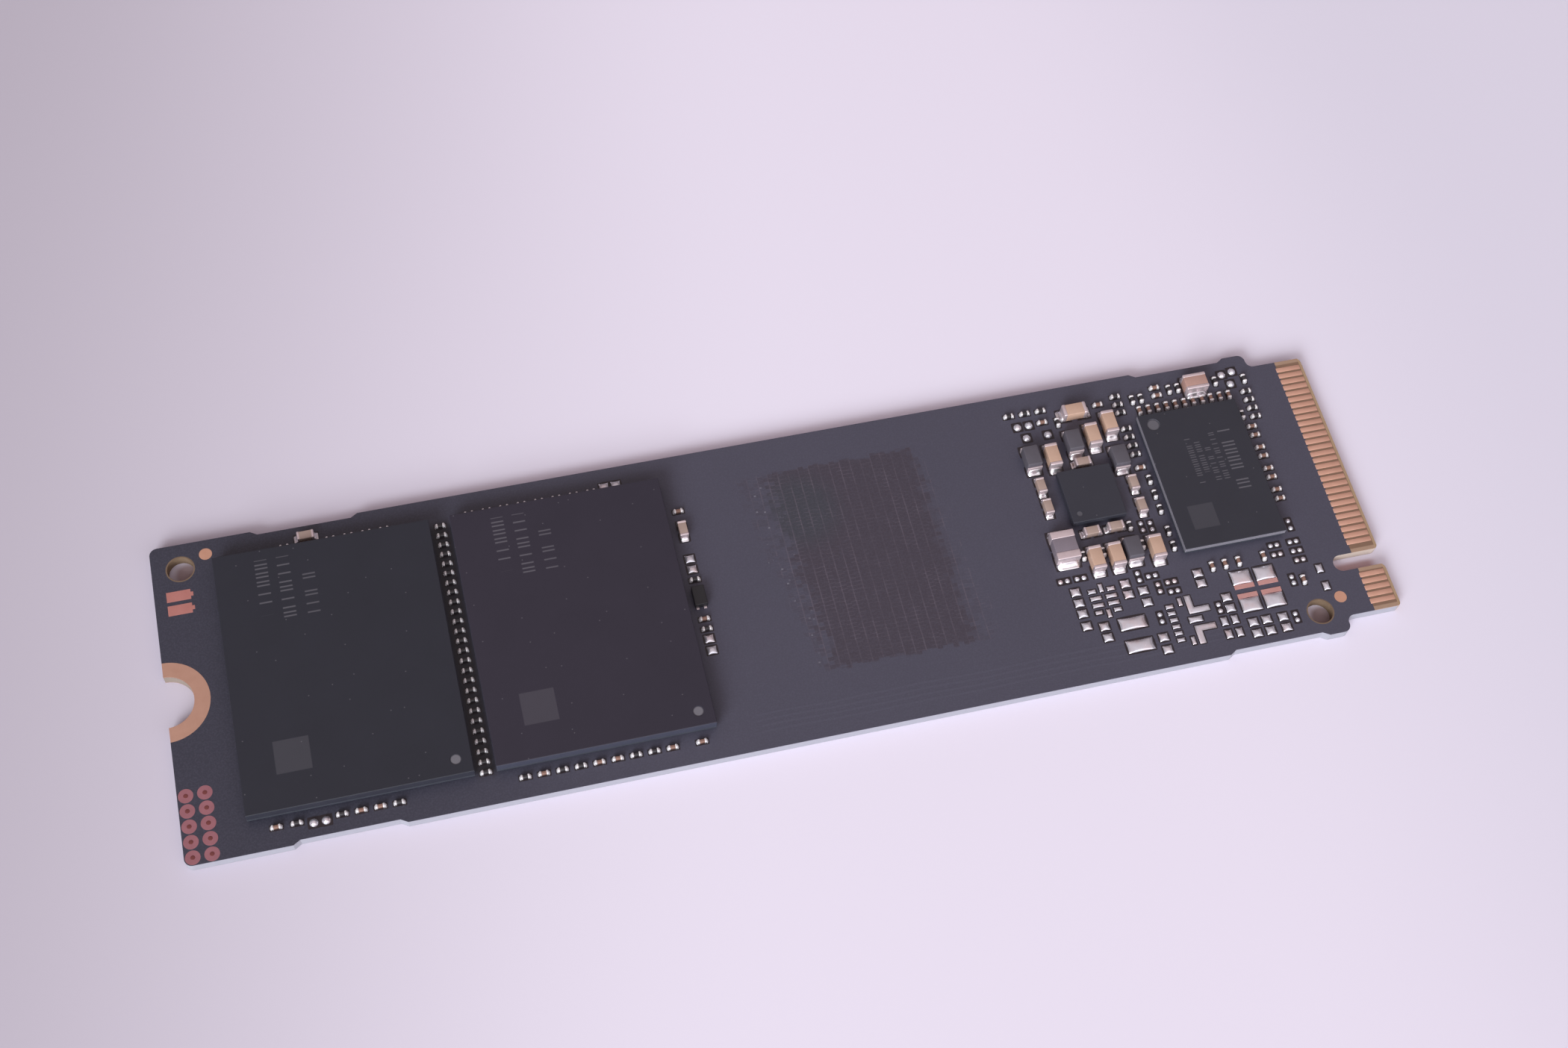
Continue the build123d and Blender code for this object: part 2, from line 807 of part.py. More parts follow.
def make_ring_footprint():
    x = power_right + ring_across
    y = power_near - ring_out
    bars = []
    for side in (-1, 1):
        for row in (-1, 1):
            inner_y = y + row * ring_row_pitch / 2
            outer_y = y + row * ring_row_pitch * 3 / 2
            bars.append(land_plate(x + side * ring_bar_reach, inner_y, bar_length, bar_width))
            bars.append(land_plate(x + side * ring_short_bar_reach, outer_y, short_bar_length, bar_width))
        bars.append(land_plate(x, y + side * ring_upright_reach, bar_width, upright_bar_length))
    write("ring_footprint", bars)


def make_comb_footprint():
    x = power_right + comb_across
    y = power_near - comb_out
    bars = []
    for number in range(comb_bars):
        bar_y = y + (number - (comb_bars - 1) / 2) * comb_bar_pitch
        bars.append(land_plate(x, bar_y, short_bar_length, bar_width))
    middle_x = x + comb_middle_across
    bars.append(land_plate(middle_x, y, comb_middle_length, angle_land_width))
    for side in (-1, 1):
        upright_y = y + side * comb_upright_reach
        bars.append(land_plate(x + comb_upright_across, upright_y, bar_width, upright_bar_length))
        angle_left = x + comb_angle_across
        flat_y = y + side * comb_angle_reach
        flat = land_plate(angle_left + angle_land_length / 2, flat_y, angle_land_length, angle_land_width)
        leg_y = flat_y + side * (angle_land_depth - angle_land_width) / 2
        leg = land_plate(angle_left + angle_land_width / 2, leg_y, angle_land_width, angle_land_depth)
        bars += (flat + leg).solids()
    write("comb_footprint", bars)


os.makedirs("parts", exist_ok=True)
make_board()
make_flash("first_flash", first_flash_x)
make_flash("second_flash", second_flash_x)
make_controller()
make_power_chip()
make_switch_chip()
furnish_flash_rows()
furnish_side_column()
furnish_power_far()
furnish_power_sides()
furnish_power_near()
furnish_power_lands()
furnish_controller_left()
furnish_controller_far()
furnish_controller_right()
furnish_controller_near()
make_capped_chips("tiny_resistor", tiny_length, tiny_width, tiny_height, tiny_cap)
make_capped_chips("tiny_capacitor", tiny_length, tiny_width, tiny_height, tiny_cap)
make_capped_chips("small_capacitor", small_length, small_width, small_height, small_cap)
make_capped_chips("medium_capacitor", medium_length, medium_width, medium_height, medium_cap)
make_capped_chips("wide_capacitor", wide_length, wide_width, wide_height, wide_cap)
make_capped_chips("filter_coil", filter_length, filter_width, filter_height, filter_cap)
make_coils()
make_lands()
make_coil_lands()
make_ring_footprint()
make_comb_footprint()
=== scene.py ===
import bpy
import bmesh
import math
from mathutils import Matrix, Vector


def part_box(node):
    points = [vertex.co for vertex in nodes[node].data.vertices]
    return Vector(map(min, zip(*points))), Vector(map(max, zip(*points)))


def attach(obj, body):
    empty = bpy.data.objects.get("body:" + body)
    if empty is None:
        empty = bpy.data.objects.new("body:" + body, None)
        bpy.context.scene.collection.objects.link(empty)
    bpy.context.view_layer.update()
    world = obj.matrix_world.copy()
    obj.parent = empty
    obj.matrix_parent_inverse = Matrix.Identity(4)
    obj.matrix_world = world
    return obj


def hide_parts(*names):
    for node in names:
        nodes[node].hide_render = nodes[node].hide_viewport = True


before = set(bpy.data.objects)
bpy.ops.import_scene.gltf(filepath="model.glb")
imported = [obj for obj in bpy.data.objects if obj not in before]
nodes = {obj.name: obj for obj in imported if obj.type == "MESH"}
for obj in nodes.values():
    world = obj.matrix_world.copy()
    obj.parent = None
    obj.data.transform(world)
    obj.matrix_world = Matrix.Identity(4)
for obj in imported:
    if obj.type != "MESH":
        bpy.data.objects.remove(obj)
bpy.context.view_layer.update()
mm = 0.001  # the frame is in metres
weld = 0.0005 * mm  # points closer than this are one
print("frame loaded,", len(nodes), "nodes")


# Node graphs

class Wire:  # one output socket, with arithmetic that adds nodes
    def __init__(self, graph, socket):
        self.graph = graph
        self.socket = socket

    def __add__(self, other):
        return self.graph.maths("ADD", self, other)

    def __radd__(self, other):
        return self.graph.maths("ADD", other, self)

    def __sub__(self, other):
        return self.graph.maths("SUBTRACT", self, other)

    def __rsub__(self, other):
        return self.graph.maths("SUBTRACT", other, self)

    def __mul__(self, other):
        return self.graph.maths("MULTIPLY", self, other)

    def __rmul__(self, other):
        return self.graph.maths("MULTIPLY", other, self)

    def __truediv__(self, other):
        return self.graph.maths("DIVIDE", self, other)

    def __gt__(self, other):
        return self.graph.maths("GREATER_THAN", self, other)


class Graph:
    def __init__(self, tree):
        self.tree = tree
        tree.nodes.clear()

    def pin(self, sockets, key):
        if isinstance(key, int):
            return sockets[key]
        exact = [socket for socket in sockets if socket.identifier == key]
        return exact[0] if exact else sockets[key]

    def fill(self, socket, value):
        if isinstance(value, Wire):
            self.tree.links.new(value.socket, socket)
        else:
            socket.default_value = value

    def node(self, kind, settings=None, sockets=None, out=0):
        made = self.tree.nodes.new(kind)
        for name, value in (settings or {}).items():
            setattr(made, name, value)
        for key, value in (sockets or {}).items():
            self.fill(self.pin(made.inputs, key), value)
        return Wire(self, self.pin(made.outputs, out)) if made.outputs else made

    def maths(self, operation, first, second):
        parts = [first, second]
        if any(isinstance(part, Wire) and part.socket.type == "VECTOR" for part in parts):
            spread = [(part,) * 3 if isinstance(part, (int, float)) else part for part in parts]
            return self.node("ShaderNodeVectorMath", {"operation": operation}, dict(enumerate(spread)))
        return self.node("ShaderNodeMath", {"operation": operation}, dict(enumerate(parts)))

    def vectorMath(self, operation, first):
        return self.node("ShaderNodeVectorMath", {"operation": operation}, {0: first})

    def split(self, vector):
        made = self.node("ShaderNodeSeparateXYZ", None, {0: vector}).socket.node
        return [Wire(self, socket) for socket in made.outputs]

    def join(self, x, y, z):
        return self.node("ShaderNodeCombineXYZ", None, {0: x, 1: y, 2: z})

    def smooth(self, value, low, high):  # 0 below low, 1 above high
        span = {"Value": value, "From Min": low, "From Max": high}
        return self.node("ShaderNodeMapRange", {"interpolation_type": "SMOOTHSTEP"}, span)

    def mix(self, factor, first, second):  # of two colours
        given = {"Factor_Float": factor, "A_Color": first, "B_Color": second}
        return self.node("ShaderNodeMix", {"data_type": "RGBA"}, given, "Result_Color")

    def noise(self, spot, scale, detail=2.0, roughness=0.5):
        given = {"Vector": spot, "Scale": scale, "Detail": detail, "Roughness": roughness}
        return self.node("ShaderNodeTexNoise", None, given, "Fac")


def tone(red, green, blue):  # a colour as it looks on screen, 0 to 255
    def linear(value):
        share = value / 255
        return share / 12.92 if share < 0.04045 else ((share + 0.055) / 1.055) ** 2.4
    return (linear(red), linear(green), linear(blue), 1.0)


class Finish(Graph):  # a material around one Principled shader
    def __init__(self, name, **fixed):
        self.material = bpy.data.materials.new(name)
        self.material.use_nodes = True
        super().__init__(self.material.node_tree)
        self.shader = self.tree.nodes.new("ShaderNodeBsdfPrincipled")
        end = self.tree.nodes.new("ShaderNodeOutputMaterial")
        self.tree.links.new(self.shader.outputs[0], end.inputs[0])
        self.spot = self.node("ShaderNodeTexCoord", out="Object") * (1 / mm)  # in millimetres
        self.x, self.y, self.z = self.split(self.spot)
        for socketName, value in fixed.items():
            self.feed(socketName, value)

    def feed(self, socketName, value):
        self.fill(self.shader.inputs[socketName], value)

    def band(self, value, low, high, soft=0.03):
        return self.step(value, low, soft) * (1 - self.step(value, high, soft))

    def step(self, value, place, soft=0.02):  # rises at a place, or falls there if soft is negative
        return self.smooth(value, place - soft, place + soft)

    def away(self, place):  # distance across the card from a place, in millimetres
        given = {0: self.join(self.x, self.y, 0), 1: (place[0], place[1], 0)}
        return self.node("ShaderNodeVectorMath", {"operation": "DISTANCE"}, given, "Value")

    def cell(self, value, pitch):  # number of the cell that a value lies in
        return self.node("ShaderNodeMath", {"operation": "FLOOR"}, {0: value / pitch})

    def chance(self, first, second):  # 0 to 1, fixed for each pair of cells
        given = {"Vector": self.join(first, second, 0)}
        return self.node("ShaderNodeTexWhiteNoise", {"noise_dimensions": "2D"}, given, "Value")

    def stripes(self, value, pitch, width):
        beat = self.node("ShaderNodeMath", {"operation": "PINGPONG"}, {0: value, 1: pitch / 2})
        return 1 - self.smooth(beat, width * 0.3, width * 0.7)

    def bump(self, height, depth):  # depth in millimetres
        given = {"Height": height, "Distance": depth * mm, "Strength": 1.0}
        self.feed("Normal", self.node("ShaderNodeBump", None, given))


# Solids of the frame's nodes

class Solid:
    def __init__(self, corners):
        self.low = Vector(min(corner[axis] for corner in corners) for axis in range(3))
        self.high = Vector(max(corner[axis] for corner in corners) for axis in range(3))
        self.middle = (self.low + self.high) / 2
        self.size = self.high - self.low
        self.corners = corners


def weldedCopy(nodeName):
    shape = bmesh.new()
    shape.from_mesh(nodes[nodeName].data)
    bmesh.ops.remove_doubles(shape, verts=shape.verts, dist=weld)
    return shape


def solidsOf(nodeName):
    shape = weldedCopy(nodeName)
    seen = set()
    found = []
    for start in shape.verts:
        if start in seen:
            continue
        seen.add(start)
        group = [start]
        for vertex in group:  # grows while it is walked
            for edge in vertex.link_edges:
                other = edge.other_vert(vertex)
                if other not in seen:
                    seen.add(other)
                    group.append(other)
        found.append(Solid([vertex.co.copy() for vertex in group]))
    shape.free()
    return sorted(found, key=lambda solid: tuple(round(value / weld) for value in solid.middle))


# Making pieces

def addPiece(name, mesh):
    piece = bpy.data.objects.new(name, mesh)
    bpy.context.scene.collection.objects.link(piece)
    return piece


def settlePiece(piece, stands=None):
    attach(piece, "root")
    if stands:
        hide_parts(stands)


def softCopy(name, nodeName, finish, pick, width, segments=2):
    shape = weldedCopy(nodeName)
    chosen = [edge for edge in shape.edges if len(edge.link_faces) == 2 and pick(edge)]
    bmesh.ops.bevel(
        shape, geom=chosen, offset=width, offset_type="OFFSET", segments=segments,
        profile=0.5, affect="EDGES", clamp_overlap=True,
    )
    mesh = bpy.data.meshes.new(name)
    shape.to_mesh(mesh)
    shape.free()
    mesh.materials.append(finish.material)
    settlePiece(addPiece(name, mesh), nodeName)


sharpAngle = math.radians(50)


def sharpEdge(edge):
    return edge.calc_face_angle() > sharpAngle


def spotMesh(name, spots):
    mesh = bpy.data.meshes.new(name)
    mesh.from_pydata([spot["place"] for spot in spots], [], [])
    turns = mesh.attributes.new("turn", "FLOAT", "POINT")
    turns.data.foreach_set("value", [spot.get("turn", 0.0) for spot in spots])
    sizes = mesh.attributes.new("size", "FLOAT_VECTOR", "POINT")
    sizes.data.foreach_set("vector", [value for spot in spots for value in spot.get("size", (1, 1, 1))])
    return mesh


flatFoot = 0.05 * mm  # the unevenness of a piece grows over this height


def makeTree(name, labels, shape, seed, soft=True):
    tree = bpy.data.node_groups.new(name, "GeometryNodeTree")
    tree.interface.new_socket("Spots", in_out="INPUT", socket_type="NodeSocketGeometry")
    for label in labels + ["Wobble", "Unevenness", "Grain", "Base"]:
        tree.interface.new_socket(label, in_out="INPUT", socket_type="NodeSocketFloat")
    tree.interface.new_socket("Finish", in_out="INPUT", socket_type="NodeSocketMaterial")
    tree.interface.new_socket("Pieces", in_out="OUTPUT", socket_type="NodeSocketGeometry")
    graph = Graph(tree)
    source = tree.nodes.new("NodeGroupInput")
    given = {socket.name: Wire(graph, socket) for socket in source.outputs if socket.name}
    one = shape(graph, given)
    turn = graph.node("GeometryNodeInputNamedAttribute", {"data_type": "FLOAT"}, {"Name": "turn"})
    size = graph.node("GeometryNodeInputNamedAttribute", {"data_type": "FLOAT_VECTOR"}, {"Name": "size"})
    shake = graph.node(
        "FunctionNodeRandomValue", {"data_type": "FLOAT"},
        {"Min_001": -1.0, "Max_001": 1.0, "Seed": seed}, "Value_001",
    )
    around = graph.join(0, 0, turn + shake * given["Wobble"])
    facing = graph.node("FunctionNodeEulerToRotation", None, {0: around})
    placed = graph.node(
        "GeometryNodeInstanceOnPoints", None,
        {"Points": given["Spots"], "Instance": one, "Rotation": facing, "Scale": size},
    )
    whole = graph.node("GeometryNodeRealizeInstances", None, {"Geometry": placed})
    spot = graph.node("GeometryNodeInputPosition")
    lift = graph.smooth(graph.split(spot)[2], given["Base"], given["Base"] + flatFoot)
    waves = graph.noise(spot, given["Grain"], 2.0, 0.5) - 0.5
    rough = graph.join(0, 0, waves * lift * given["Unevenness"])
    whole = graph.node("GeometryNodeSetPosition", None, {"Geometry": whole, "Offset": rough})
    whole = graph.node("GeometryNodeSetShadeSmooth", None, {"Geometry": whole, "Shade Smooth": soft})
    whole = graph.node("GeometryNodeSetMaterial", None, {"Geometry": whole, "Material": given["Finish"]})
    end = tree.nodes.new("NodeGroupOutput")
    tree.links.new(whole.socket, end.inputs[0])
    return tree


def growPiece(name, tree, spots, values, finish, stands=None):
    source = addPiece(name + "Spots", spotMesh(name + "Spots", spots))
    grower = source.modifiers.new("grow", "NODES")
    grower.node_group = tree
    given = dict(values)
    given["Finish"] = finish.material
    for item in tree.interface.items_tree:
        if item.item_type == "SOCKET" and item.in_out == "INPUT" and item.name in given:
            grower[item.identifier] = given[item.name]
    bpy.context.view_layer.update()
    ready = source.evaluated_get(bpy.context.evaluated_depsgraph_get())
    mesh = bpy.data.meshes.new_from_object(ready)
    mesh.name = name
    source.modifiers.remove(grower)
    bpy.data.objects.remove(source)
    settlePiece(addPiece(name, mesh), stands)


# Shapes that repeat, as Geometry Nodes

def roundedBlock(graph, given, steps):
    cells = {"Size": (2, 2, 2), "Vertices X": steps, "Vertices Y": steps, "Vertices Z": steps}
    cube = graph.node("GeometryNodeMeshCube", None, cells)
    spot = graph.node("GeometryNodeInputPosition")
    inner = 1 / (steps - 1)  # where the innermost rows of the grid lie
    side = graph.vectorMath("SIGN", spot)
    reach = graph.vectorMath("ABSOLUTE", spot)
    outward = graph.vectorMath("NORMALIZE", (reach - inner) * side)
    half = graph.join(given["Length"], given["Width"], given["Height"]) * 0.5
    edge = graph.join(given["Edge"], given["Edge"], given["Edge"])
    rounded = (half - edge) * side + outward * edge
    return graph.node("GeometryNodeSetPosition", None, {"Geometry": cube, "Position": rounded})


jointShape = {"crown": 0.75, "taper": 0.22, "bulgeTaper": 0.4}


def solderJoint(graph, given):  # a slope from an end face down to the land, hollow or bulged
    cells = {"Size": (2, 2, 2), "Vertices X": 6, "Vertices Y": 6, "Vertices Z": 2}
    cube = graph.node("GeometryNodeMeshCube", None, cells)
    x, y, z = graph.split(graph.node("GeometryNodeInputPosition"))
    run = (x + 1) * 0.5
    across = y * y
    crown = 1 - across * across * jointShape["crown"]
    hollow = (1 - run) * (1 - run)
    slope = hollow + (1 - run * run - hollow) * given["Bulge"]
    height = (given["Rise"] * slope * crown + given["Lip"]) * (z > 0)
    taper = jointShape["taper"] + given["Bulge"] * jointShape["bulgeTaper"]
    spread = y * given["Width"] * 0.5 * (1 - run * run * taper)
    bent = graph.join(run * given["Run"], spread, height)
    return graph.node("GeometryNodeSetPosition", None, {"Geometry": cube, "Position": bent})


pillowShape = {"slope": 0.8, "shoulder": 0.2}


def solderPillow(graph, given):  # a domed tile, 2 wide and 1 high before it is sized
    cells = {"Size": (2, 2, 2), "Vertices X": 8, "Vertices Y": 8, "Vertices Z": 2}
    cube = graph.node("GeometryNodeMeshCube", None, cells)
    x, y, z = graph.split(graph.node("GeometryNodeInputPosition"))
    squareX = x * x
    squareY = y * y
    fall = pillowShape["slope"] + squareY * pillowShape["shoulder"]
    dome = (1 - squareX) * (1 - squareY * fall)
    height = (given["Lip"] + (1 - given["Lip"]) * dome) * (z > 0)
    pullX = given["Corner"] * squareY + given["Waist"] * (1 - squareY)
    pullY = given["Corner"] * squareX + given["Waist"] * (1 - squareX)
    bent = graph.join(x * (1 - pullX), y * (1 - pullY), height)
    return graph.node("GeometryNodeSetPosition", None, {"Geometry": cube, "Position": bent})


def flatTile(graph, given):  # a thin plate with pulled-in corners
    cells = {"Size": (2, 2, 2), "Vertices X": 4, "Vertices Y": 4, "Vertices Z": 2}
    cube = graph.node("GeometryNodeMeshCube", None, cells)
    x, y, z = graph.split(graph.node("GeometryNodeInputPosition"))
    pull = given["Corner"] * x * x * y * y
    bent = graph.join(x * (1 - pull), y * (1 - pull), z > 0)
    return graph.node("GeometryNodeSetPosition", None, {"Geometry": cube, "Position": bent})


def solderBall(graph, given):
    cells = {"Segments": 12, "Rings": 8, "Radius": 1.0}
    return graph.node("GeometryNodeMeshUVSphere", None, cells)


blockLabels = ["Length", "Width", "Height", "Edge"]
smallBlockTree = makeTree("smallBlocks", blockLabels, lambda graph, given: roundedBlock(graph, given, 4), 3)
blockTree = makeTree("blocks", blockLabels, lambda graph, given: roundedBlock(graph, given, 6), 3)
jointTree = makeTree("solderJoints", ["Run", "Width", "Rise", "Lip", "Bulge"], solderJoint, 5)
pillowTree = makeTree("solderPillows", ["Lip", "Corner", "Waist"], solderPillow, 7)
tileTree = makeTree("flatTiles", ["Corner"], flatTile, 9, soft=False)
ballTree = makeTree("solderBalls", [], solderBall, 11)
print("node trees built")


def growBlocks(name, nodeName, tree, finish, edge, lift=0.0):  # a rounded block for each solid
    solids = solidsOf(nodeName)
    size = solids[0].size
    spots = [{"place": solid.middle + Vector((0, 0, lift / 2))} for solid in solids]
    values = {"Length": size.x, "Width": size.y, "Height": size.z + lift, "Edge": edge}
    growPiece(name, tree, spots, values, finish, nodeName)


# Finishes

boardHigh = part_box("circuit_board")[1]
plugEnd, farSide = boardHigh.x / mm, boardHigh.y / mm
boardLook = {  # places and widths in millimetres
    "mask": tone(72, 69, 84), "maskDark": tone(46, 45, 58), "maskSpan": (-34.0, -4.0), "edge": 0.05 * mm,
    "bare": tone(134, 103, 84), "bareDark": tone(118, 90, 73), "bareStart": plugEnd - 1.97,
    "bevel": tone(198, 168, 134), "bevelDark": tone(174, 142, 107), "bevelStart": plugEnd - 0.25,
    "rim": tone(170, 138, 118), "rimDark": tone(152, 122, 102), "rimWide": 0.2, "rimSoft": 0.04,
    "drilledTone": tone(128, 104, 84), "drilledDark": tone(98, 78, 62),
    "wall": tone(168, 166, 176), "wallDark": tone(150, 148, 158), "wallHigh": 0.75,
    "drilled": [(-plugEnd + 1.84, farSide - 1.81), (plugEnd - 5.62, 1.75 - farSide)], "drilledRim": 0.93,
    "notch": (-plugEnd, 0.0), "notchReach": 1.82, "notchTone": tone(140, 125, 115),
    "key": -6.125, "keyReach": 0.66, "keyStart": plugEnd - 3.56, "keyTone": tone(190, 172, 162),
    "tongue": (1.15 - farSide, farSide - 1.15),
    "speck": tone(96, 94, 112), "speckShare": 0.16, "laneShade": tone(24, 21, 27), "laneShadeShare": 0.75,
    "trace": tone(84, 82, 98), "traceShare": 0.16, "traceX": (-4.0, 33.0), "traceY": (-10.1, -8.5),
    "tracePitch": 0.4, "traceWide": 0.14, "traceSway": 0.5, "cloud": 0.12, "roughness": 0.42, "bump": 0.004,
}
keyLow, keyHigh = boardLook["key"] - boardLook["keyReach"], boardLook["key"] + boardLook["keyReach"]
patchLook = {  # each side is its slope against y, its place in x and how soft it is
    "left": (0.084, 1.2, 0.5), "right": (0.037, 11.1, 0.4), "ends": (-6.5, 8.35), "endSoft": 0.1,
    "fringeLeft": (0.155, 0.0, 0.3), "fringeRight": (0.12, 12.0, 0.3), "strays": 0.3,
    "ragged": 0.9, "raggedEnd": 0.35, "cellX": 0.36, "cellY": 0.28, "seed": 7,
    "warm": tone(54, 42, 50), "share": 0.6, "line": tone(96, 86, 98), "lineShare": 0.48,
    "cool": tone(43, 47, 50), "coolShare": 0.9, "coolPlace": (2.2, 5.2), "coolReach": (3.6, 1.4),
    "upright": 0.08, "sway": 0.06, "tick": 0.055, "tickLuck": 0.42, "brokenSpan": (0.36, 0.66),
    "spark": tone(150, 148, 160), "sparkShare": 0.35, "sparkCell": (0.13, 0.11), "sparkLuck": 0.985,
    "sparkSpan": (3.0, 0.0),
}


def patchColour(made, mask, upper):  # copper mesh that shows through the upper mask, and its lines
    look = patchLook
    column = made.cell(made.x, look["cellX"])
    course = made.y + made.chance(column, look["seed"]) * look["cellY"]
    row = made.cell(course, look["cellY"])
    luck = made.chance(column, row)
    ragged = (column + 0.5) * look["cellX"] + (luck - 0.5) * look["ragged"]
    along = made.y + (luck - 0.5) * look["raggedEnd"]
    across = made.band(along, *look["ends"], look["endSoft"]) * upper

    def within(leftSide, rightSide):  # between two slanted sides
        shares = []
        for side, way in ((leftSide, 1), (rightSide, -1)):
            slope, place, soft = look[side]
            shares.append(made.smooth(ragged + made.y * slope - place, -soft * way, soft * way))
        return shares[0] * shares[1] * across

    fringe = within("fringeLeft", "fringeRight")
    whole = within("left", "right")
    inside = whole + (1 - whole) * fringe * (luck > 0.5) * look["strays"]
    cool = made.smooth(made.away(look["coolPlace"]), *look["coolReach"]) * look["coolShare"]
    mask = made.mix(inside * look["share"], mask, made.mix(cool, look["warm"], look["cool"]))
    sway = made.noise(made.spot, 1.4) * look["sway"]
    uprights = made.stripes(made.x + sway, look["cellX"] * 2, look["upright"])
    ticks = made.stripes(course, look["cellY"], look["tick"])
    ticks = ticks * (made.chance(row, column) > look["tickLuck"])
    broken = made.smooth(made.noise(made.spot, 0.7, 3.0), *look["brokenSpan"])
    lines = (uprights * (broken * 0.75 + 0.25) + ticks * (broken * 0.55 + 0.25)) * fringe
    mask = made.mix(lines * look["lineShare"], mask, look["line"])
    wide, deep = look["sparkCell"]
    sparks = made.chance(made.cell(made.x, wide), made.cell(made.y, deep)) > look["sparkLuck"]
    sparks = sparks * (fringe - whole) * made.smooth(made.x, *look["sparkSpan"])
    return made.mix(sparks * look["sparkShare"], mask, look["spark"]), lines


def maskColour(made, upper, fine):  # the masked face, and how far what lies under the mask stands out
    look = boardLook
    cloud = made.noise(made.spot, look["cloud"], 3.0)
    toPlug = made.smooth(made.x, *look["maskSpan"])
    mask = made.mix(toPlug * 0.8 + cloud * 0.2, look["maskDark"], look["mask"])
    mask, lines = patchColour(made, mask, upper)
    run = made.band(made.x, *look["traceX"], 0.4) * made.band(made.y, *look["traceY"], 0.1) * upper
    sway = made.noise(made.spot, look["cloud"]) * look["traceSway"]
    traces = made.stripes(made.y + sway, look["tracePitch"], look["traceWide"]) * run
    mask = made.mix(traces * look["traceShare"], mask, look["trace"])
    mask = made.mix(made.smooth(fine, 0.35, 0.75) * look["speckShare"], mask, look["speck"])
    # painted shade: the mask is darker in the lane between the two memory packages
    left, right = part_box("first_flash_cap")[1] / mm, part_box("second_flash_cap")[0] / mm
    shadedLane = made.band(made.x, left.x, right.x, 0.15) * made.band(made.y, right.y, left.y, 0.5)
    mask = made.mix(shadedLane * upper * look["laneShadeShare"], mask, look["laneShade"])
    return mask, lines * 0.5 + traces * 0.8


def bareColour(made, weave):  # laminate between the contacts, darkened partly as painted shade in the narrow gaps, paler beside the slot and along the sides
    look = boardLook
    wide, soft = look["rimWide"], look["rimSoft"]
    low, high = look["tongue"]
    rim = made.band(made.y, keyLow - wide, keyHigh + wide, soft) + 1
    rim = rim - made.band(made.y, low + wide, high - wide, soft)
    bare = made.mix(weave, look["bare"], look["bareDark"])
    return made.mix(rim, bare, made.mix(weave, look["rim"], look["rimDark"]))


def wallColour(made, bevel, tan):  # cut sides of the board, pale in the key slot and plated in the notch
    look = boardLook
    layers = made.noise(made.join(made.x * 0.6, made.y * 0.6, made.z * 14), 3.0, 3.0)
    edge = made.mix(bevel, made.mix(layers, look["wall"], look["wallDark"]), tan)
    slot = made.smooth(made.x, look["keyStart"] - 0.1, look["keyStart"])
    edge = made.mix(slot * made.band(made.y, keyLow, keyHigh, 0.02), edge, look["keyTone"])
    plated = made.step(made.away(look["notch"]), look["notchReach"], -0.02)
    return made.mix(plated, edge, look["notchTone"])


def boardFinish():
    look = boardLook
    made = Finish("boardMask", IOR=1.5)
    fine = made.noise(made.spot, 9.0, 2.0)
    weave = made.noise(made.spot, 2.5, 4.0, 0.65)
    tilt = made.split(made.node("ShaderNodeNewGeometry", out="Normal"))[2]
    mask, relief = maskColour(made, made.smooth(tilt, 0.3, 0.7), fine)
    bareShare = made.step(made.x, look["bareStart"])
    face = made.mix(bareShare, mask, bareColour(made, weave))
    bevel = made.step(made.x, look["bevelStart"], 0.01)
    tan = made.mix(weave, look["bevel"], look["bevelDark"])
    brown = made.mix(weave, look["drilledTone"], look["drilledDark"])
    first, second = [made.step(made.away(hole), look["drilledRim"], -0.02) for hole in look["drilled"]]
    drilled = first + second
    face = made.mix(bevel, made.mix(drilled, face, brown), tan)
    edge = made.mix(drilled, wallColour(made, bevel, tan), brown)
    wall = made.smooth(tilt * tilt, 0.3, 0.1) * made.step(made.z, look["wallHigh"], -0.03)
    made.feed("Base Color", made.mix(wall, face, edge))
    made.feed("Roughness", look["roughness"] + fine * 0.1 + wall * 0.3 + bareShare * 0.1)
    made.bump(fine + relief, look["bump"])
    return made


metalLook = {
    "scratchX": 1.5, "scratchY": 14, "scratchRough": 0.14, "cloudRough": 0.08, "bump": 0.003,
    "blushGrain": 0.8, "blushSpan": (0.46, 0.7), "blushShare": 0.6,
}


def metalFinish(name, bright, dull, roughness, grain=1.6, metallic=1.0, blush=None):
    made = Finish(name, Metallic=metallic)
    look = metalLook
    cloud = made.noise(made.spot, grain, 3.0)
    scratch = made.noise(made.join(made.x * look["scratchX"], made.y * look["scratchY"], made.z), 3.0, 2.0)
    colour = made.mix(cloud, tone(*dull), tone(*bright))
    if blush:  # copper that shows through in places
        patches = made.smooth(made.noise(made.spot, look["blushGrain"], 2.0), *look["blushSpan"])
        colour = made.mix(patches * look["blushShare"], colour, tone(*blush))
    made.feed("Base Color", colour)
    made.feed("Roughness", roughness + scratch * look["scratchRough"] + cloud * look["cloudRough"])
    made.bump(scratch * 0.4 + cloud, look["bump"])
    return made


mouldLook = {  # a bar's place is a share of its pitch
    "mark": tone(134, 129, 137), "firstBar": (0.16, 0.32), "secondBar": (0.6, 0.76), "barSoft": 0.05,
    "barLuck": 0.14, "secondLuck": 0.4, "dustApart": 2.6, "dustRadius": 0.04, "dustShare": 0.3,
    "grain": 26.0, "grainRough": 0.12, "cloud": 0.35, "bump": 0.006,
}


def dustOf(made, apart, radius):  # round specks, about so far apart in millimetres
    given = {"Vector": made.join(made.x, made.y, 0), "Scale": 1 / apart}
    near = made.node("ShaderNodeTexVoronoi", {"voronoi_dimensions": "2D"}, given, "Distance")
    return made.smooth(near, radius * 1.3 / apart, radius * 0.7 / apart)


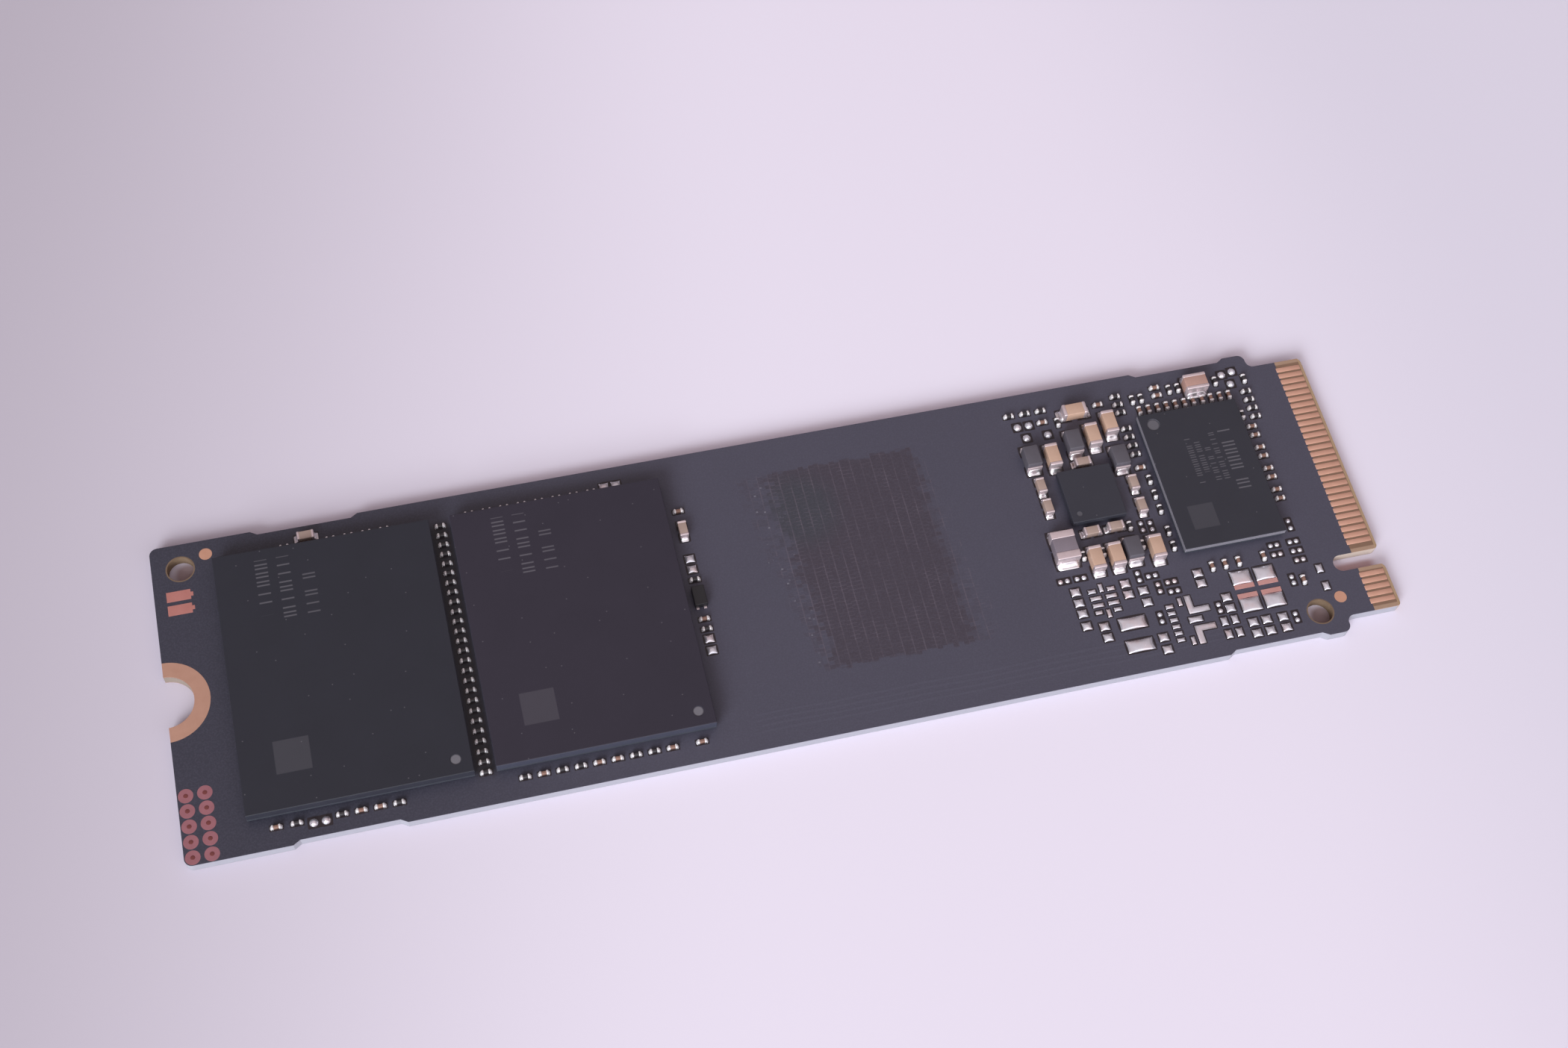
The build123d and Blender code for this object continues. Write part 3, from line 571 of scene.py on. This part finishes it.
def mouldFinish(name, light, dark, roughness, marks=(), dent=None, litSides=None):
    made = Finish(name, IOR=1.48)
    look = mouldLook
    grain = made.noise(made.spot, look["grain"], 2.0, 0.6)
    cloud = made.noise(made.spot, look["cloud"], 3.0)
    colour = made.mix(cloud * 0.6 + grain * 0.4, dark, light)
    for number, mark in enumerate(marks):
        field = made.band(made.x, *mark["x"]) * made.band(made.y, *mark["y"])
        if "pitch" in mark:  # a row of slim plain bars, some left out
            place = made.cell(made.y, mark["pitch"])
            luck = made.chance(place, number)
            share = made.y / mark["pitch"] - place
            second = made.band(share, *look["secondBar"], look["barSoft"]) * (luck > look["secondLuck"])
            bars = made.band(share, *look["firstBar"], look["barSoft"]) + second
            field = field * bars * (luck > look["barLuck"])
        colour = made.mix(field * mark["strength"], colour, look["mark"])
    if dent:
        disc = made.smooth(made.away(dent["place"]), dent["radius"] * 1.02, dent["radius"] * 0.7)
        colour = made.mix(disc * dent["strength"], colour, look["mark"])
    dust = dustOf(made, look["dustApart"], look["dustRadius"])
    colour = made.mix(dust * look["dustShare"], colour, look["mark"])
    if litSides:  # painted light: the side faces get a lighter tone for the light they catch
        up = made.split(made.node("ShaderNodeNewGeometry", out="Normal"))[2]
        colour = made.mix(made.smooth(up, 0.6, 0.2), colour, litSides)
    made.feed("Base Color", colour)
    made.feed("Roughness", roughness + grain * look["grainRough"])
    made.bump(grain + cloud * 0.5, look["bump"])
    return made


ceramicLook = {"cloud": 1.3, "speck": 22.0, "speckRough": 0.15, "bump": 0.004}


def ceramicFinish(name, light, dark, roughness):
    made = Finish(name, IOR=1.55)
    cloud = made.noise(made.spot, ceramicLook["cloud"], 3.0)
    speck = made.noise(made.spot, ceramicLook["speck"], 2.0)
    made.feed("Base Color", made.mix(cloud * 0.6 + speck * 0.4, tone(*dark), tone(*light)))
    made.feed("Roughness", roughness + speck * ceramicLook["speckRough"])
    made.bump(speck, ceramicLook["bump"])
    return made


# the mask openings around lands and part ends: their dark tone is partly the bared board and partly painted
# shade
openingLook = {  # thin tiles, at many heights in turn so that neighbours share no face
    "dark": tone(31, 24, 29), "light": tone(43, 33, 39), "roughness": 0.3,
    "rise": 0.004, "step": 0.0003, "steps": 37, "corner": 0.05,
}


def openingShadeFinish():
    made = Finish("maskOpening", IOR=1.5)
    cloud = made.noise(made.spot, 3.0, 2.0)
    made.feed("Base Color", made.mix(cloud, openingLook["dark"], openingLook["light"]))
    made.feed("Roughness", openingLook["roughness"] + cloud * 0.2)
    return made


board = boardFinish()
gold = metalFinish("goldPlate", (233, 183, 163), (219, 167, 145), 0.36, metallic=0.6)
ringGold = metalFinish("ringGold", (204, 159, 140), (190, 143, 124), 0.4, metallic=0.5)
fiducialGold = metalFinish("markGold", (220, 168, 145), (206, 152, 128), 0.42, metallic=0.5)
copper = metalFinish("coatedCopper", (202, 138, 131), (187, 121, 113), 0.42, metallic=0.5)
testCopper = metalFinish("testCopper", (175, 117, 126), (154, 101, 109), 0.42, metallic=0.5)
landCopper = metalFinish("landCopper", (219, 167, 164), (203, 147, 141), 0.42, metallic=0.5)
viaPlug = ceramicFinish("viaPlug", (120, 56, 54), (92, 40, 40), 0.4)
solder = metalFinish("tinSolder", (246, 240, 244), (222, 212, 218), 0.2, 4.0, 0.92)
landSolder = metalFinish(
    "landSolder", (237, 235, 246), (218, 213, 223), 0.12, 3.0, 0.68, blush=(226, 196, 196),
)
jointSolder = metalFinish("jointSolder", (244, 239, 243), (226, 218, 224), 0.26, 4.0, 0.4)
endMetal = metalFinish("tinnedEnds", (234, 216, 220), (214, 194, 199), 0.24, 3.0, 0.66)
tinyMetal = metalFinish("tinyEnds", (244, 237, 240), (226, 217, 221), 0.3, 4.0, 0.35)
carrier = ceramicFinish("carrierLaminate", (60, 62, 73), (45, 46, 55), 0.5)
tanCeramic = ceramicFinish("tanCeramic", (200, 166, 148), (180, 144, 125), 0.42)
smallTan = ceramicFinish("smallTan", (174, 151, 143), (156, 131, 122), 0.42)
pinkCeramic = ceramicFinish("wideCeramic", (188, 150, 140), (166, 126, 116), 0.45)
reddishCeramic = ceramicFinish("smallTanCeramic", (150, 114, 102), (118, 86, 76), 0.45)
darkCeramic = ceramicFinish("resistorCoat", (62, 56, 60), (42, 38, 42), 0.4)
ferrite = ceramicFinish("ferrite", (92, 86, 96), (74, 69, 77), 0.6)
filterFerrite = ceramicFinish("filterFerrite", (134, 121, 131), (114, 102, 112), 0.6)
opening = openingShadeFinish()


def packageMarks(nodeName, rows):
    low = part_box(nodeName)[0]
    left, near = low.x / mm, low.y / mm
    return [{
        **row, "x": [left + value for value in row["x"]], "y": [near + value for value in row["y"]],
    } for row in rows]


memoryMarks = [  # plain bars and a plain field, from the package's left near corner
    {"x": (2.6, 3.4), "y": (13.2, 17.2), "pitch": 0.62, "strength": 0.34},
    {"x": (4.0, 4.8), "y": (12.8, 17.2), "pitch": 0.62, "strength": 0.34},
    {"x": (5.5, 6.3), "y": (12.8, 17.2), "pitch": 0.62, "strength": 0.3},
    {"x": (2.2, 4.4), "y": (2.3, 4.5), "strength": 0.12},
]
controllerMarks = [
    {"x": (5.1, 6.0), "y": (3.6, 8.5), "pitch": 0.6, "strength": 0.4},
    *(
        {"x": span, "y": (near, 8.4), "pitch": 0.36, "strength": 0.36}
        for span, near in (((4.4, 4.8), 4.6), ((3.8, 4.2), 4.6), ((3.2, 3.6), 5.4), ((2.6, 3.0), 4.6))
    ),
    {"x": (1.1, 2.9), "y": (1.3, 3.1), "strength": 0.1},
]
memoryTones = {  # light, dark, and the painted light of the side faces
    "first_flash": (tone(38, 38, 49), tone(30, 30, 40), tone(43, 43, 54)),
    "second_flash": (tone(47, 41, 55), tone(38, 33, 46), tone(59, 60, 75)),
}
chipTones = {
    "controller": (tone(49, 49, 59), tone(39, 39, 48)), "controllerLitSides": tone(128, 123, 133),
    "power": (tone(54, 54, 64), tone(44, 43, 53)), "switch": (tone(36, 34, 38), tone(28, 26, 30)),
}


def dentOf(nodeName, strength):  # the round dent that marks a package's first corner
    low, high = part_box(nodeName)
    shape = weldedCopy(nodeName)
    floor, top = low.z + weld * 4, high.z - weld * 4
    inner = [vertex.co.copy() for vertex in shape.verts if floor < vertex.co.z < top]
    shape.free()
    span = Solid(inner)
    place = (span.middle.x / mm, span.middle.y / mm)
    return {"place": place, "radius": span.size.x / 2 / mm, "strength": strength}


print("finishes built")


# Board and its inlaid metal

inlayLook = {"edge": 0.008 * mm, "pocket": 0.2 * mm}  # no pocket is deeper than that


def outlineEdge(edge):  # upper rims, not those of the shallow pockets under the inlaid metal
    if not sharpEdge(edge):
        return False
    heights = [vertex.co.z for vertex in edge.verts]
    if abs(heights[0] - heights[1]) > weld or heights[0] < boardHigh.z / 2:
        return False
    faces = [vertex.co.z for face in edge.link_faces for vertex in face.verts]
    return max(faces) - min(faces) > inlayLook["pocket"]


softCopy("boardPlate", "circuit_board", board, outlineEdge, boardLook["edge"])
for nodeName, pieceName, finish, slot in (
    ("screw_pad_upper", "screwRingUpper", ringGold, "gold"),
    ("screw_pad_lower", "screwRingLower", ringGold, "gold"),
    ("alignment_marks", "alignmentMarks", fiducialGold, "gold"),
    ("earth_pads", "earthPads", copper, "copper"),
    ("test_points", "testPoints", testCopper, "copper"),
):
    softCopy(pieceName, nodeName, finish, sharpEdge, inlayLook["edge"])


fingerLook = {"edge": 0.02 * mm, "proud": 0.012 * mm}
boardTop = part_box("power_chip_balls")[0].z
viaLook = {"radius": 0.15 * mm, "rise": 0.012 * mm}
viaSpots = []
for solid in solidsOf("test_points"):
    place = (solid.middle.x, solid.middle.y, boardTop)
    viaSpots.append({"place": place, "size": (viaLook["radius"], viaLook["radius"], viaLook["rise"])})
growPiece("testVias", ballTree, viaSpots, {}, viaPlug)
edge, proud = fingerLook["edge"], fingerLook["proud"]
growBlocks("plugFingersUpper", "contacts_upper", smallBlockTree, gold, edge, proud)
growBlocks("plugFingersLower", "contacts_lower", smallBlockTree, gold, edge)
print("board dressed")


# Packages

packageLook = {
    "edge": 0.05 * mm, "plateEdge": 0.02 * mm, "dentRim": 0.12 * mm,
    "dent": 0.6, "controllerDent": 0.42, "powerDent": 0.25,
    "memoryRough": 0.5, "chipRough": 0.36, "powerRough": 0.42,
}


def packageEdge(edge):  # the long outer edges, not the rim of the round dent
    return sharpEdge(edge) and edge.calc_length() > packageLook["dentRim"]


for name, stem in (("firstMemory", "first_flash"), ("secondMemory", "second_flash")):
    marks = packageMarks(stem + "_cap", memoryMarks)
    dent = dentOf(stem + "_cap", packageLook["dent"])
    light, dark, litSides = memoryTones[stem]
    mould = mouldFinish(name + "Mould", light, dark, packageLook["memoryRough"], marks, dent, litSides)
    softCopy(name + "Cap", stem + "_cap", mould, packageEdge, packageLook["edge"], 3)
    softCopy(name + "Plate", stem + "_plate", carrier, sharpEdge, packageLook["plateEdge"])
controllerMould = mouldFinish(
    "controllerMould", *chipTones["controller"], packageLook["chipRough"],
    packageMarks("controller_cap", controllerMarks),
    dentOf("controller_cap", packageLook["controllerDent"]), chipTones["controllerLitSides"],
)
softCopy(
    "controllerCap", "controller_cap", controllerMould, packageEdge, packageLook["edge"], 3,
)
softCopy("controllerPlate", "controller_plate", carrier, sharpEdge, packageLook["plateEdge"])
powerDent = dentOf("power_chip_body", packageLook["powerDent"])
powerMould = mouldFinish("chipMould", *chipTones["power"], packageLook["powerRough"], dent=powerDent)
softCopy("powerChip", "power_chip_body", powerMould, packageEdge, packageLook["edge"], 3)
switchMould = mouldFinish("switchMould", *chipTones["switch"], packageLook["chipRough"])
softCopy("switchChip", "switch_chip_body", switchMould, sharpEdge, packageLook["edge"])


def ballField(name, nodeName):
    spots = []
    for solid in solidsOf(nodeName):
        half = solid.size / 2
        spots.append({"place": solid.middle, "size": (half.x, half.x, half.z)})
    growPiece(name, ballTree, spots, {}, solder, nodeName)


ballField("firstMemoryBalls", "first_flash_balls")
ballField("secondMemoryBalls", "second_flash_balls")
ballField("controllerBalls", "controller_balls")
ballField("powerChipBalls", "power_chip_balls")
print("packages dressed")


# Chip parts with two metal ends

openings = []  # where the mask is open, as tiles


def openMask(low, high, margin):
    middle = (low + high) / 2
    half = (high - low) / 2
    rise = openingLook["rise"] + openingLook["step"] * (len(openings) % openingLook["steps"])
    openings.append({
        "place": (middle.x, middle.y, boardTop),
        "size": (half.x + margin, half.y + margin, rise * mm),
    })


def pairEnds(bodyNode, endNode):  # each body with the two ends nearest to it
    ends = solidsOf(endNode)
    parts = []
    for body in solidsOf(bodyNode):
        near = sorted(ends, key=lambda end: (end.middle - body.middle).length)[:2]
        along = near[1].middle - near[0].middle
        parts.append({"body": body, "ends": near, "turned": abs(along.y) > abs(along.x)})
    return parts


jointLook = {  # solder at the ends; wide and open are shares of the end's width and of the run
    "lip": 0.012 * mm, "inset": 0.01 * mm, "wide": 1.02, "open": 0.8,
    "unevenness": 0.03 * mm, "grain": 4000.0,
}
tinyLook = {
    "ends": tinyMetal, "solder": jointSolder, "tree": smallBlockTree, "wobble": 0.05,
    "edge": 0.075 * mm, "sink": 0.04 * mm, "run": 0.1 * mm, "rise": 0.85, "bulge": 0.85,
    "opening": 0.07 * mm,
}
largeLook = {
    "ends": endMetal, "solder": solder, "tree": blockTree, "wobble": 0.0,
    "edge": 0.08 * mm, "sink": 0.02 * mm, "bulge": 0.0, "opening": 0.12 * mm,
}
chipLooks = {
    "tiny_resistor": {**tinyLook, "name": "tinyResistor", "body": darkCeramic, "slot": "dark_ceramic"},
    "tiny_capacitor": {**tinyLook, "name": "tinyCapacitor", "body": reddishCeramic, "slot": "tan_ceramic"},
    "small_capacitor": {
        **largeLook, "name": "smallCapacitor", "body": smallTan, "slot": "tan_ceramic",
        "edge": 0.06 * mm, "run": 0.24 * mm, "rise": 0.38, "opening": 0.1 * mm, "wobble": 0.02,
    },
    "medium_capacitor": {
        **largeLook, "name": "mediumCapacitor", "body": tanCeramic, "slot": "tan_ceramic",
        "run": 0.36 * mm, "rise": 0.4, "wobble": 0.015,
    },
    "wide_capacitor": {
        **largeLook, "name": "wideCapacitor", "body": pinkCeramic, "slot": "tan_ceramic",
        "run": 0.3 * mm, "rise": 0.42,
    },
    "filter_coil": {
        **largeLook, "name": "filterCoil", "body": filterFerrite, "slot": "ferrite",
        "edge": 0.07 * mm, "sink": 0.03 * mm, "run": 0.44 * mm, "rise": 0.45,
    },
}


def jointSpots(parts):
    inset = jointLook["inset"]
    spots = []
    for part in parts:
        axis = 1 if part["turned"] else 0
        for end in part["ends"]:
            outward = end.middle[axis] > part["body"].middle[axis]
            place = Vector((end.middle.x, end.middle.y, boardTop))
            place[axis] = end.high[axis] - inset if outward else end.low[axis] + inset
            turns = (-math.pi / 2, math.pi / 2) if part["turned"] else (math.pi, 0.0)
            spots.append({"place": place, "turn": turns[outward]})
    return spots


def jointSizes(run, wide, rise, bulge):
    return {
        "Run": run, "Width": wide, "Rise": rise, "Bulge": bulge, "Lip": jointLook["lip"],
        "Unevenness": jointLook["unevenness"], "Grain": jointLook["grain"], "Base": boardTop,
    }


def dressChips(stem):
    look = chipLooks[stem]
    parts = pairEnds(stem + "_bodies", stem + "_caps")
    first = parts[0]
    axis, cross = (1, 0) if first["turned"] else (0, 1)
    body, end = first["body"].size, first["ends"][0].size
    sink = look["sink"]
    bodySpots, endSpots = [], []
    for part in parts:
        turn = math.pi / 2 if part["turned"] else 0.0
        bodySpots.append({"place": part["body"].middle - Vector((0, 0, sink / 2)), "turn": turn})
        for one in part["ends"]:
            endSpots.append({"place": one.middle, "turn": turn})
            reach = Vector((0, look["run"], 0)) if part["turned"] else Vector((look["run"], 0, 0))
            reach = reach * jointLook["open"]
            openMask(one.low - reach, one.high + reach, look["opening"])
    bodyValues = {
        "Length": body[axis] + 2 * look["edge"], "Width": body[cross] - 2 * sink, "Height": body.z - sink,
        "Edge": look["edge"] * 0.7, "Wobble": look["wobble"],
    }
    endValues = {
        "Length": end[axis], "Width": end[cross], "Height": end.z, "Edge": look["edge"],
        "Wobble": look["wobble"],
    }
    wide = end[cross] * jointLook["wide"]
    jointValues = jointSizes(look["run"], wide, end.z * look["rise"], look["bulge"])
    name, tree = look["name"], look["tree"]
    growPiece(name + "Bodies", tree, bodySpots, bodyValues, look["body"], stem + "_bodies")
    growPiece(name + "Ends", tree, endSpots, endValues, look["ends"], stem + "_caps")
    growPiece(name + "Joints", jointTree, jointSpots(parts), jointValues, look["solder"])


for stem in chipLooks:
    dressChips(stem)
print("chip parts dressed")


# Coils between low end plates, and the leads of the switch chip

coilLook = {
    "edge": 0.08 * mm, "plateEdge": 0.03 * mm, "run": 0.3 * mm, "rise": 0.7, "opening": 0.1 * mm,
    "leadEdge": 0.025 * mm,
}


def dressCoils():
    growBlocks("coilBodies", "coil_bodies", blockTree, ferrite, coilLook["edge"])
    growBlocks("coilPlates", "coil_plates", blockTree, endMetal, coilLook["plateEdge"])
    parts = pairEnds("coil_bodies", "coil_plates")
    plates = solidsOf("coil_plates")
    size = plates[0].size
    values = jointSizes(coilLook["run"], size.x, size.z * coilLook["rise"], 0.0)
    growPiece("coilJoints", jointTree, jointSpots(parts), values, solder)
    reach = Vector((0, coilLook["run"], 0))
    for plate in plates:
        openMask(plate.low - reach, plate.high + reach, coilLook["opening"])


dressCoils()
edge = coilLook["leadEdge"]
growBlocks("switchLeads", "switch_chip_leads", smallBlockTree, endMetal, edge)
print("coils dressed")


# Solder on lands without a part

pillowLook = {"lip": 0.12, "unevenness": 0.03 * mm, "grain": 2600.0}
squareLand = {"dome": 0.52, "corner": 0.0, "waist": 0.1, "opening": 0.09 * mm}
roundLand = {"dome": 0.8, "corner": 0.29, "waist": 0.0, "opening": 0.11 * mm}
footprintLand = {"dome": 0.5, "corner": 0.0, "waist": 0.08, "opening": 0.08 * mm}
landLooks = {  # dome is the rise for each unit of half width
    "solder_lands": {**squareLand, "name": "solderLands"},
    "tall_lands": {**squareLand, "name": "tallLands"},
    "wide_lands": {"name": "wideLands", "dome": 0.34, "corner": 0.0, "waist": 0.06, "opening": 0.11 * mm},
    "coil_land_solder": {
        "name": "coilLandSolder", "dome": 0.3, "corner": 0.0, "waist": 0.05, "opening": 0.1 * mm,
    },
    "solder_dots": {**roundLand, "name": "solderDots"},
    "solder_blobs": {**roundLand, "name": "solderBlobs"},
    "ring_footprint": {**footprintLand, "name": "ringFootprint"},
    "comb_footprint": {**footprintLand, "name": "combFootprint"},
}


def angled(solid):  # twelve corners and straight sides
    places = {(round(corner.x / weld), round(corner.y / weld)) for corner in solid.corners}
    return len(places) == 6


def armsOf(solid):  # the two arms of an angled land, each as a low and a high corner
    inner = [
        corner for corner in solid.corners
        if solid.low.x + weld < corner.x < solid.high.x - weld
        and solid.low.y + weld < corner.y < solid.high.y - weld
    ][0]
    tip = [corner.y for corner in solid.corners if corner.x > solid.high.x - weld]
    leg = (solid.low, Vector((inner.x, solid.high.y, solid.high.z)))
    flat = (Vector((solid.low.x, min(tip), solid.low.z)), Vector((solid.high.x, max(tip), solid.high.z)))
    return [leg, flat]


def dressLands(nodeName):
    look = landLooks[nodeName]
    spots = []
    for solid in solidsOf(nodeName):
        half = solid.size / 2
        if angled(solid):  # these lands are copied below
            for low, high in armsOf(solid):
                openMask(low, high, look["opening"])
            continue
        openMask(solid.low, solid.high, look["opening"])
        spots.append({
            "place": (solid.middle.x, solid.middle.y, boardTop),
            "size": (half.x, half.y, min(half.x, half.y) * look["dome"]),
        })
    values = {
        "Lip": pillowLook["lip"], "Corner": look["corner"], "Waist": look["waist"],
        "Unevenness": pillowLook["unevenness"], "Grain": pillowLook["grain"], "Base": boardTop,
    }
    growPiece(look["name"], pillowTree, spots, values, landSolder, nodeName)


for nodeName in landLooks:
    dressLands(nodeName)


angledLook = {  # each step is an inset and a rise
    "lip": 0.012 * mm, "copperEdge": 0.01 * mm,
    "steps": ((0.05 * mm, 0.05 * mm), (0.06 * mm, 0.03 * mm), (0.06 * mm, 0.01 * mm)),
}


def angledLands():  # the flat copies of the solids get a domed top, ring by ring
    shape = weldedCopy("comb_footprint")
    kept = set()
    for solid in solidsOf("comb_footprint"):
        if angled(solid):
            for vertex in shape.verts:
                spot, low, high = vertex.co, solid.low, solid.high
                if all(low[axis] - weld < spot[axis] < high[axis] + weld for axis in range(3)):
                    kept.add(vertex)
    spare = [vertex for vertex in shape.verts if vertex not in kept]
    bmesh.ops.delete(shape, geom=spare, context="VERTS")
    for vertex in shape.verts:
        if vertex.co.z > boardTop + weld:
            vertex.co.z = boardTop + angledLook["lip"]
    shape.normal_update()
    top = [face for face in shape.faces if face.normal.z > 0.5]
    for inset, rise in angledLook["steps"]:
        made = bmesh.ops.inset_region(shape, faces=top, thickness=inset, depth=rise, use_even_offset=True)
        for face in made["faces"]:
            face.smooth = True
    for face in top:
        face.smooth = True
    mesh = bpy.data.meshes.new("angledLands")
    shape.to_mesh(mesh)
    shape.free()
    mesh.materials.append(landSolder.material)
    settlePiece(addPiece("angledLands", mesh))


angledLands()
softCopy("coilLandCopper", "coil_land_copper", landCopper, sharpEdge, angledLook["copperEdge"])
tileValues = {"Corner": openingLook["corner"]}
growPiece("maskOpenings", tileTree, openings, tileValues, opening)
print("solder lands dressed,", len(openings), "mask openings")


# Floor, light and camera

stageLook = {  # places on the floor in millimetres, heights in the sky as shares
    "floor": tone(232, 222, 238), "floorLeftShade": tone(182, 172, 185), "floorRightShade": tone(220, 212, 228),
    "leftSpan": (-60.0, 8.0), "slant": 0.2, "rightSpan": (30.0, 64.0), "cloud": 12, "roughness": 0.9,
    "reach": 0.9, "clear": 0.02 * mm,
    "holeShade": tone(148, 128, 132), "holeShift": (0.35, -0.1), "holeReach": (1.1, 0.55),
    "slotShade": tone(192, 162, 168), "slotX": (0.3, 0.4), "slotY": (0.9, 0.2),
    "zenith": (0.54, 0.465, 0.465, 1.0), "horizon": (0.15, 0.122, 0.118, 1.0), "skySpan": (0.35, 0.85),
    "window": (1.5, 1.5, 1.54, 1.0), "windowAim": (-0.1, -0.99), "windowSpan": (0.3, 0.62),
    "windowFoot": (0.05, 0.3), "backdrop": tone(218, 210, 224), "backdropSpan": (0.18, 0.1),
    "keyPlace": (-0.64, -0.86, 0.54), "keySize": (0.6, 0.52), "key": 13.9, "keyTone": (0.88, 0.98, 1.0),
}


def buildStage(look):
    mesh = bpy.data.meshes.new("floor")
    reach, low = look["reach"], -look["clear"]
    corners = [(-reach, -reach, low), (reach, -reach, low), (reach, reach, low), (-reach, reach, low)]
    mesh.from_pydata(corners, [], [(0, 1, 2, 3)])
    floor = addPiece("floor", mesh)
    paper = Finish("floorPaper", Roughness=look["roughness"])
    cloud = paper.noise(paper.spot, 0.01, 2.0) * look["cloud"]
    # painted shade: the floor darkens towards the left and a little towards the right, as less light falls
    # there
    slant = paper.x - paper.y * look["slant"] + cloud
    leftShadeShare = paper.smooth(slant, *look["leftSpan"])
    colour = paper.mix(leftShadeShare, look["floorLeftShade"], look["floor"])
    rightShadeShare = paper.smooth(paper.x + cloud, *look["rightSpan"])
    colour = paper.mix(rightShadeShare, colour, look["floorRightShade"])
    aside, back = look["holeShift"]
    for x, y in boardLook["drilled"]:  # little light reaches the floor in the holes and the slot
        deep = paper.smooth(paper.away((x + aside, y + back)), *look["holeReach"])
        colour = paper.mix(deep, colour, look["holeShade"])
    start, end = look["slotX"]
    low, high = look["slotY"]
    deep = paper.band(paper.x, boardLook["keyStart"] + start, plugEnd - end, 0.4)
    deep = deep * paper.band(paper.y, boardLook["key"] - low, boardLook["key"] + high, 0.2)
    colour = paper.mix(deep, colour, look["slotShade"])
    paper.feed("Base Color", colour)
    mesh.materials.append(paper.material)


def addKey(look):
    lamp = bpy.data.lights.new("keyPanel", "AREA")
    lamp.shape = "RECTANGLE"
    lamp.size, lamp.size_y = look["keySize"]
    lamp.energy, lamp.color = look["key"], look["keyTone"]
    panel = addPiece("keyPanel", lamp)
    panel.location = look["keyPlace"]
    panel.rotation_euler = (-Vector(look["keyPlace"])).to_track_quat("-Z", "Y").to_euler()


def lightStage(look):
    world = bpy.data.worlds.new("studio")
    bpy.context.scene.world = world
    world.use_nodes = True
    room = Graph(world.node_tree)
    x, y, z = room.split(room.node("ShaderNodeTexCoord", out="Generated"))
    sky = room.mix(room.smooth(z, *look["skySpan"]), look["horizon"], look["zenith"])
    aim = look["windowAim"]
    facing = room.smooth(x * aim[0] + y * aim[1], *look["windowSpan"])
    facing = facing * room.smooth(z, *look["windowFoot"])
    sky = room.mix(facing, sky, look["window"])
    sky = room.mix(room.smooth(z, *look["backdropSpan"]), sky, look["backdrop"])
    glow = room.node("ShaderNodeBackground", None, {"Color": sky, "Strength": 1.0})
    room.node("ShaderNodeOutputWorld", None, {"Surface": glow})
    addKey(look)


cameraLook = {  # millimetres and degrees
    "place": (-21.546, -57.876, 123.941), "turn": (28.0937, -3.3765, -13.5751),
    "lens": 48.1025, "sensor": 36.0, "nearest": 1.0,
}


def addCamera():
    lens = bpy.data.cameras.new("camera")
    lens.lens = cameraLook["lens"]
    lens.sensor_width = cameraLook["sensor"]
    lens.sensor_fit = "HORIZONTAL"
    lens.clip_start = cameraLook["nearest"] * mm
    camera = addPiece("camera", lens)
    camera.location = [value * mm for value in cameraLook["place"]]
    camera.rotation_euler = [math.radians(value) for value in cameraLook["turn"]]
    bpy.context.scene.camera = camera


buildStage(stageLook)
lightStage(stageLook)
addCamera()
bpy.context.scene.view_settings.view_transform = "Standard"
print("stage lit")
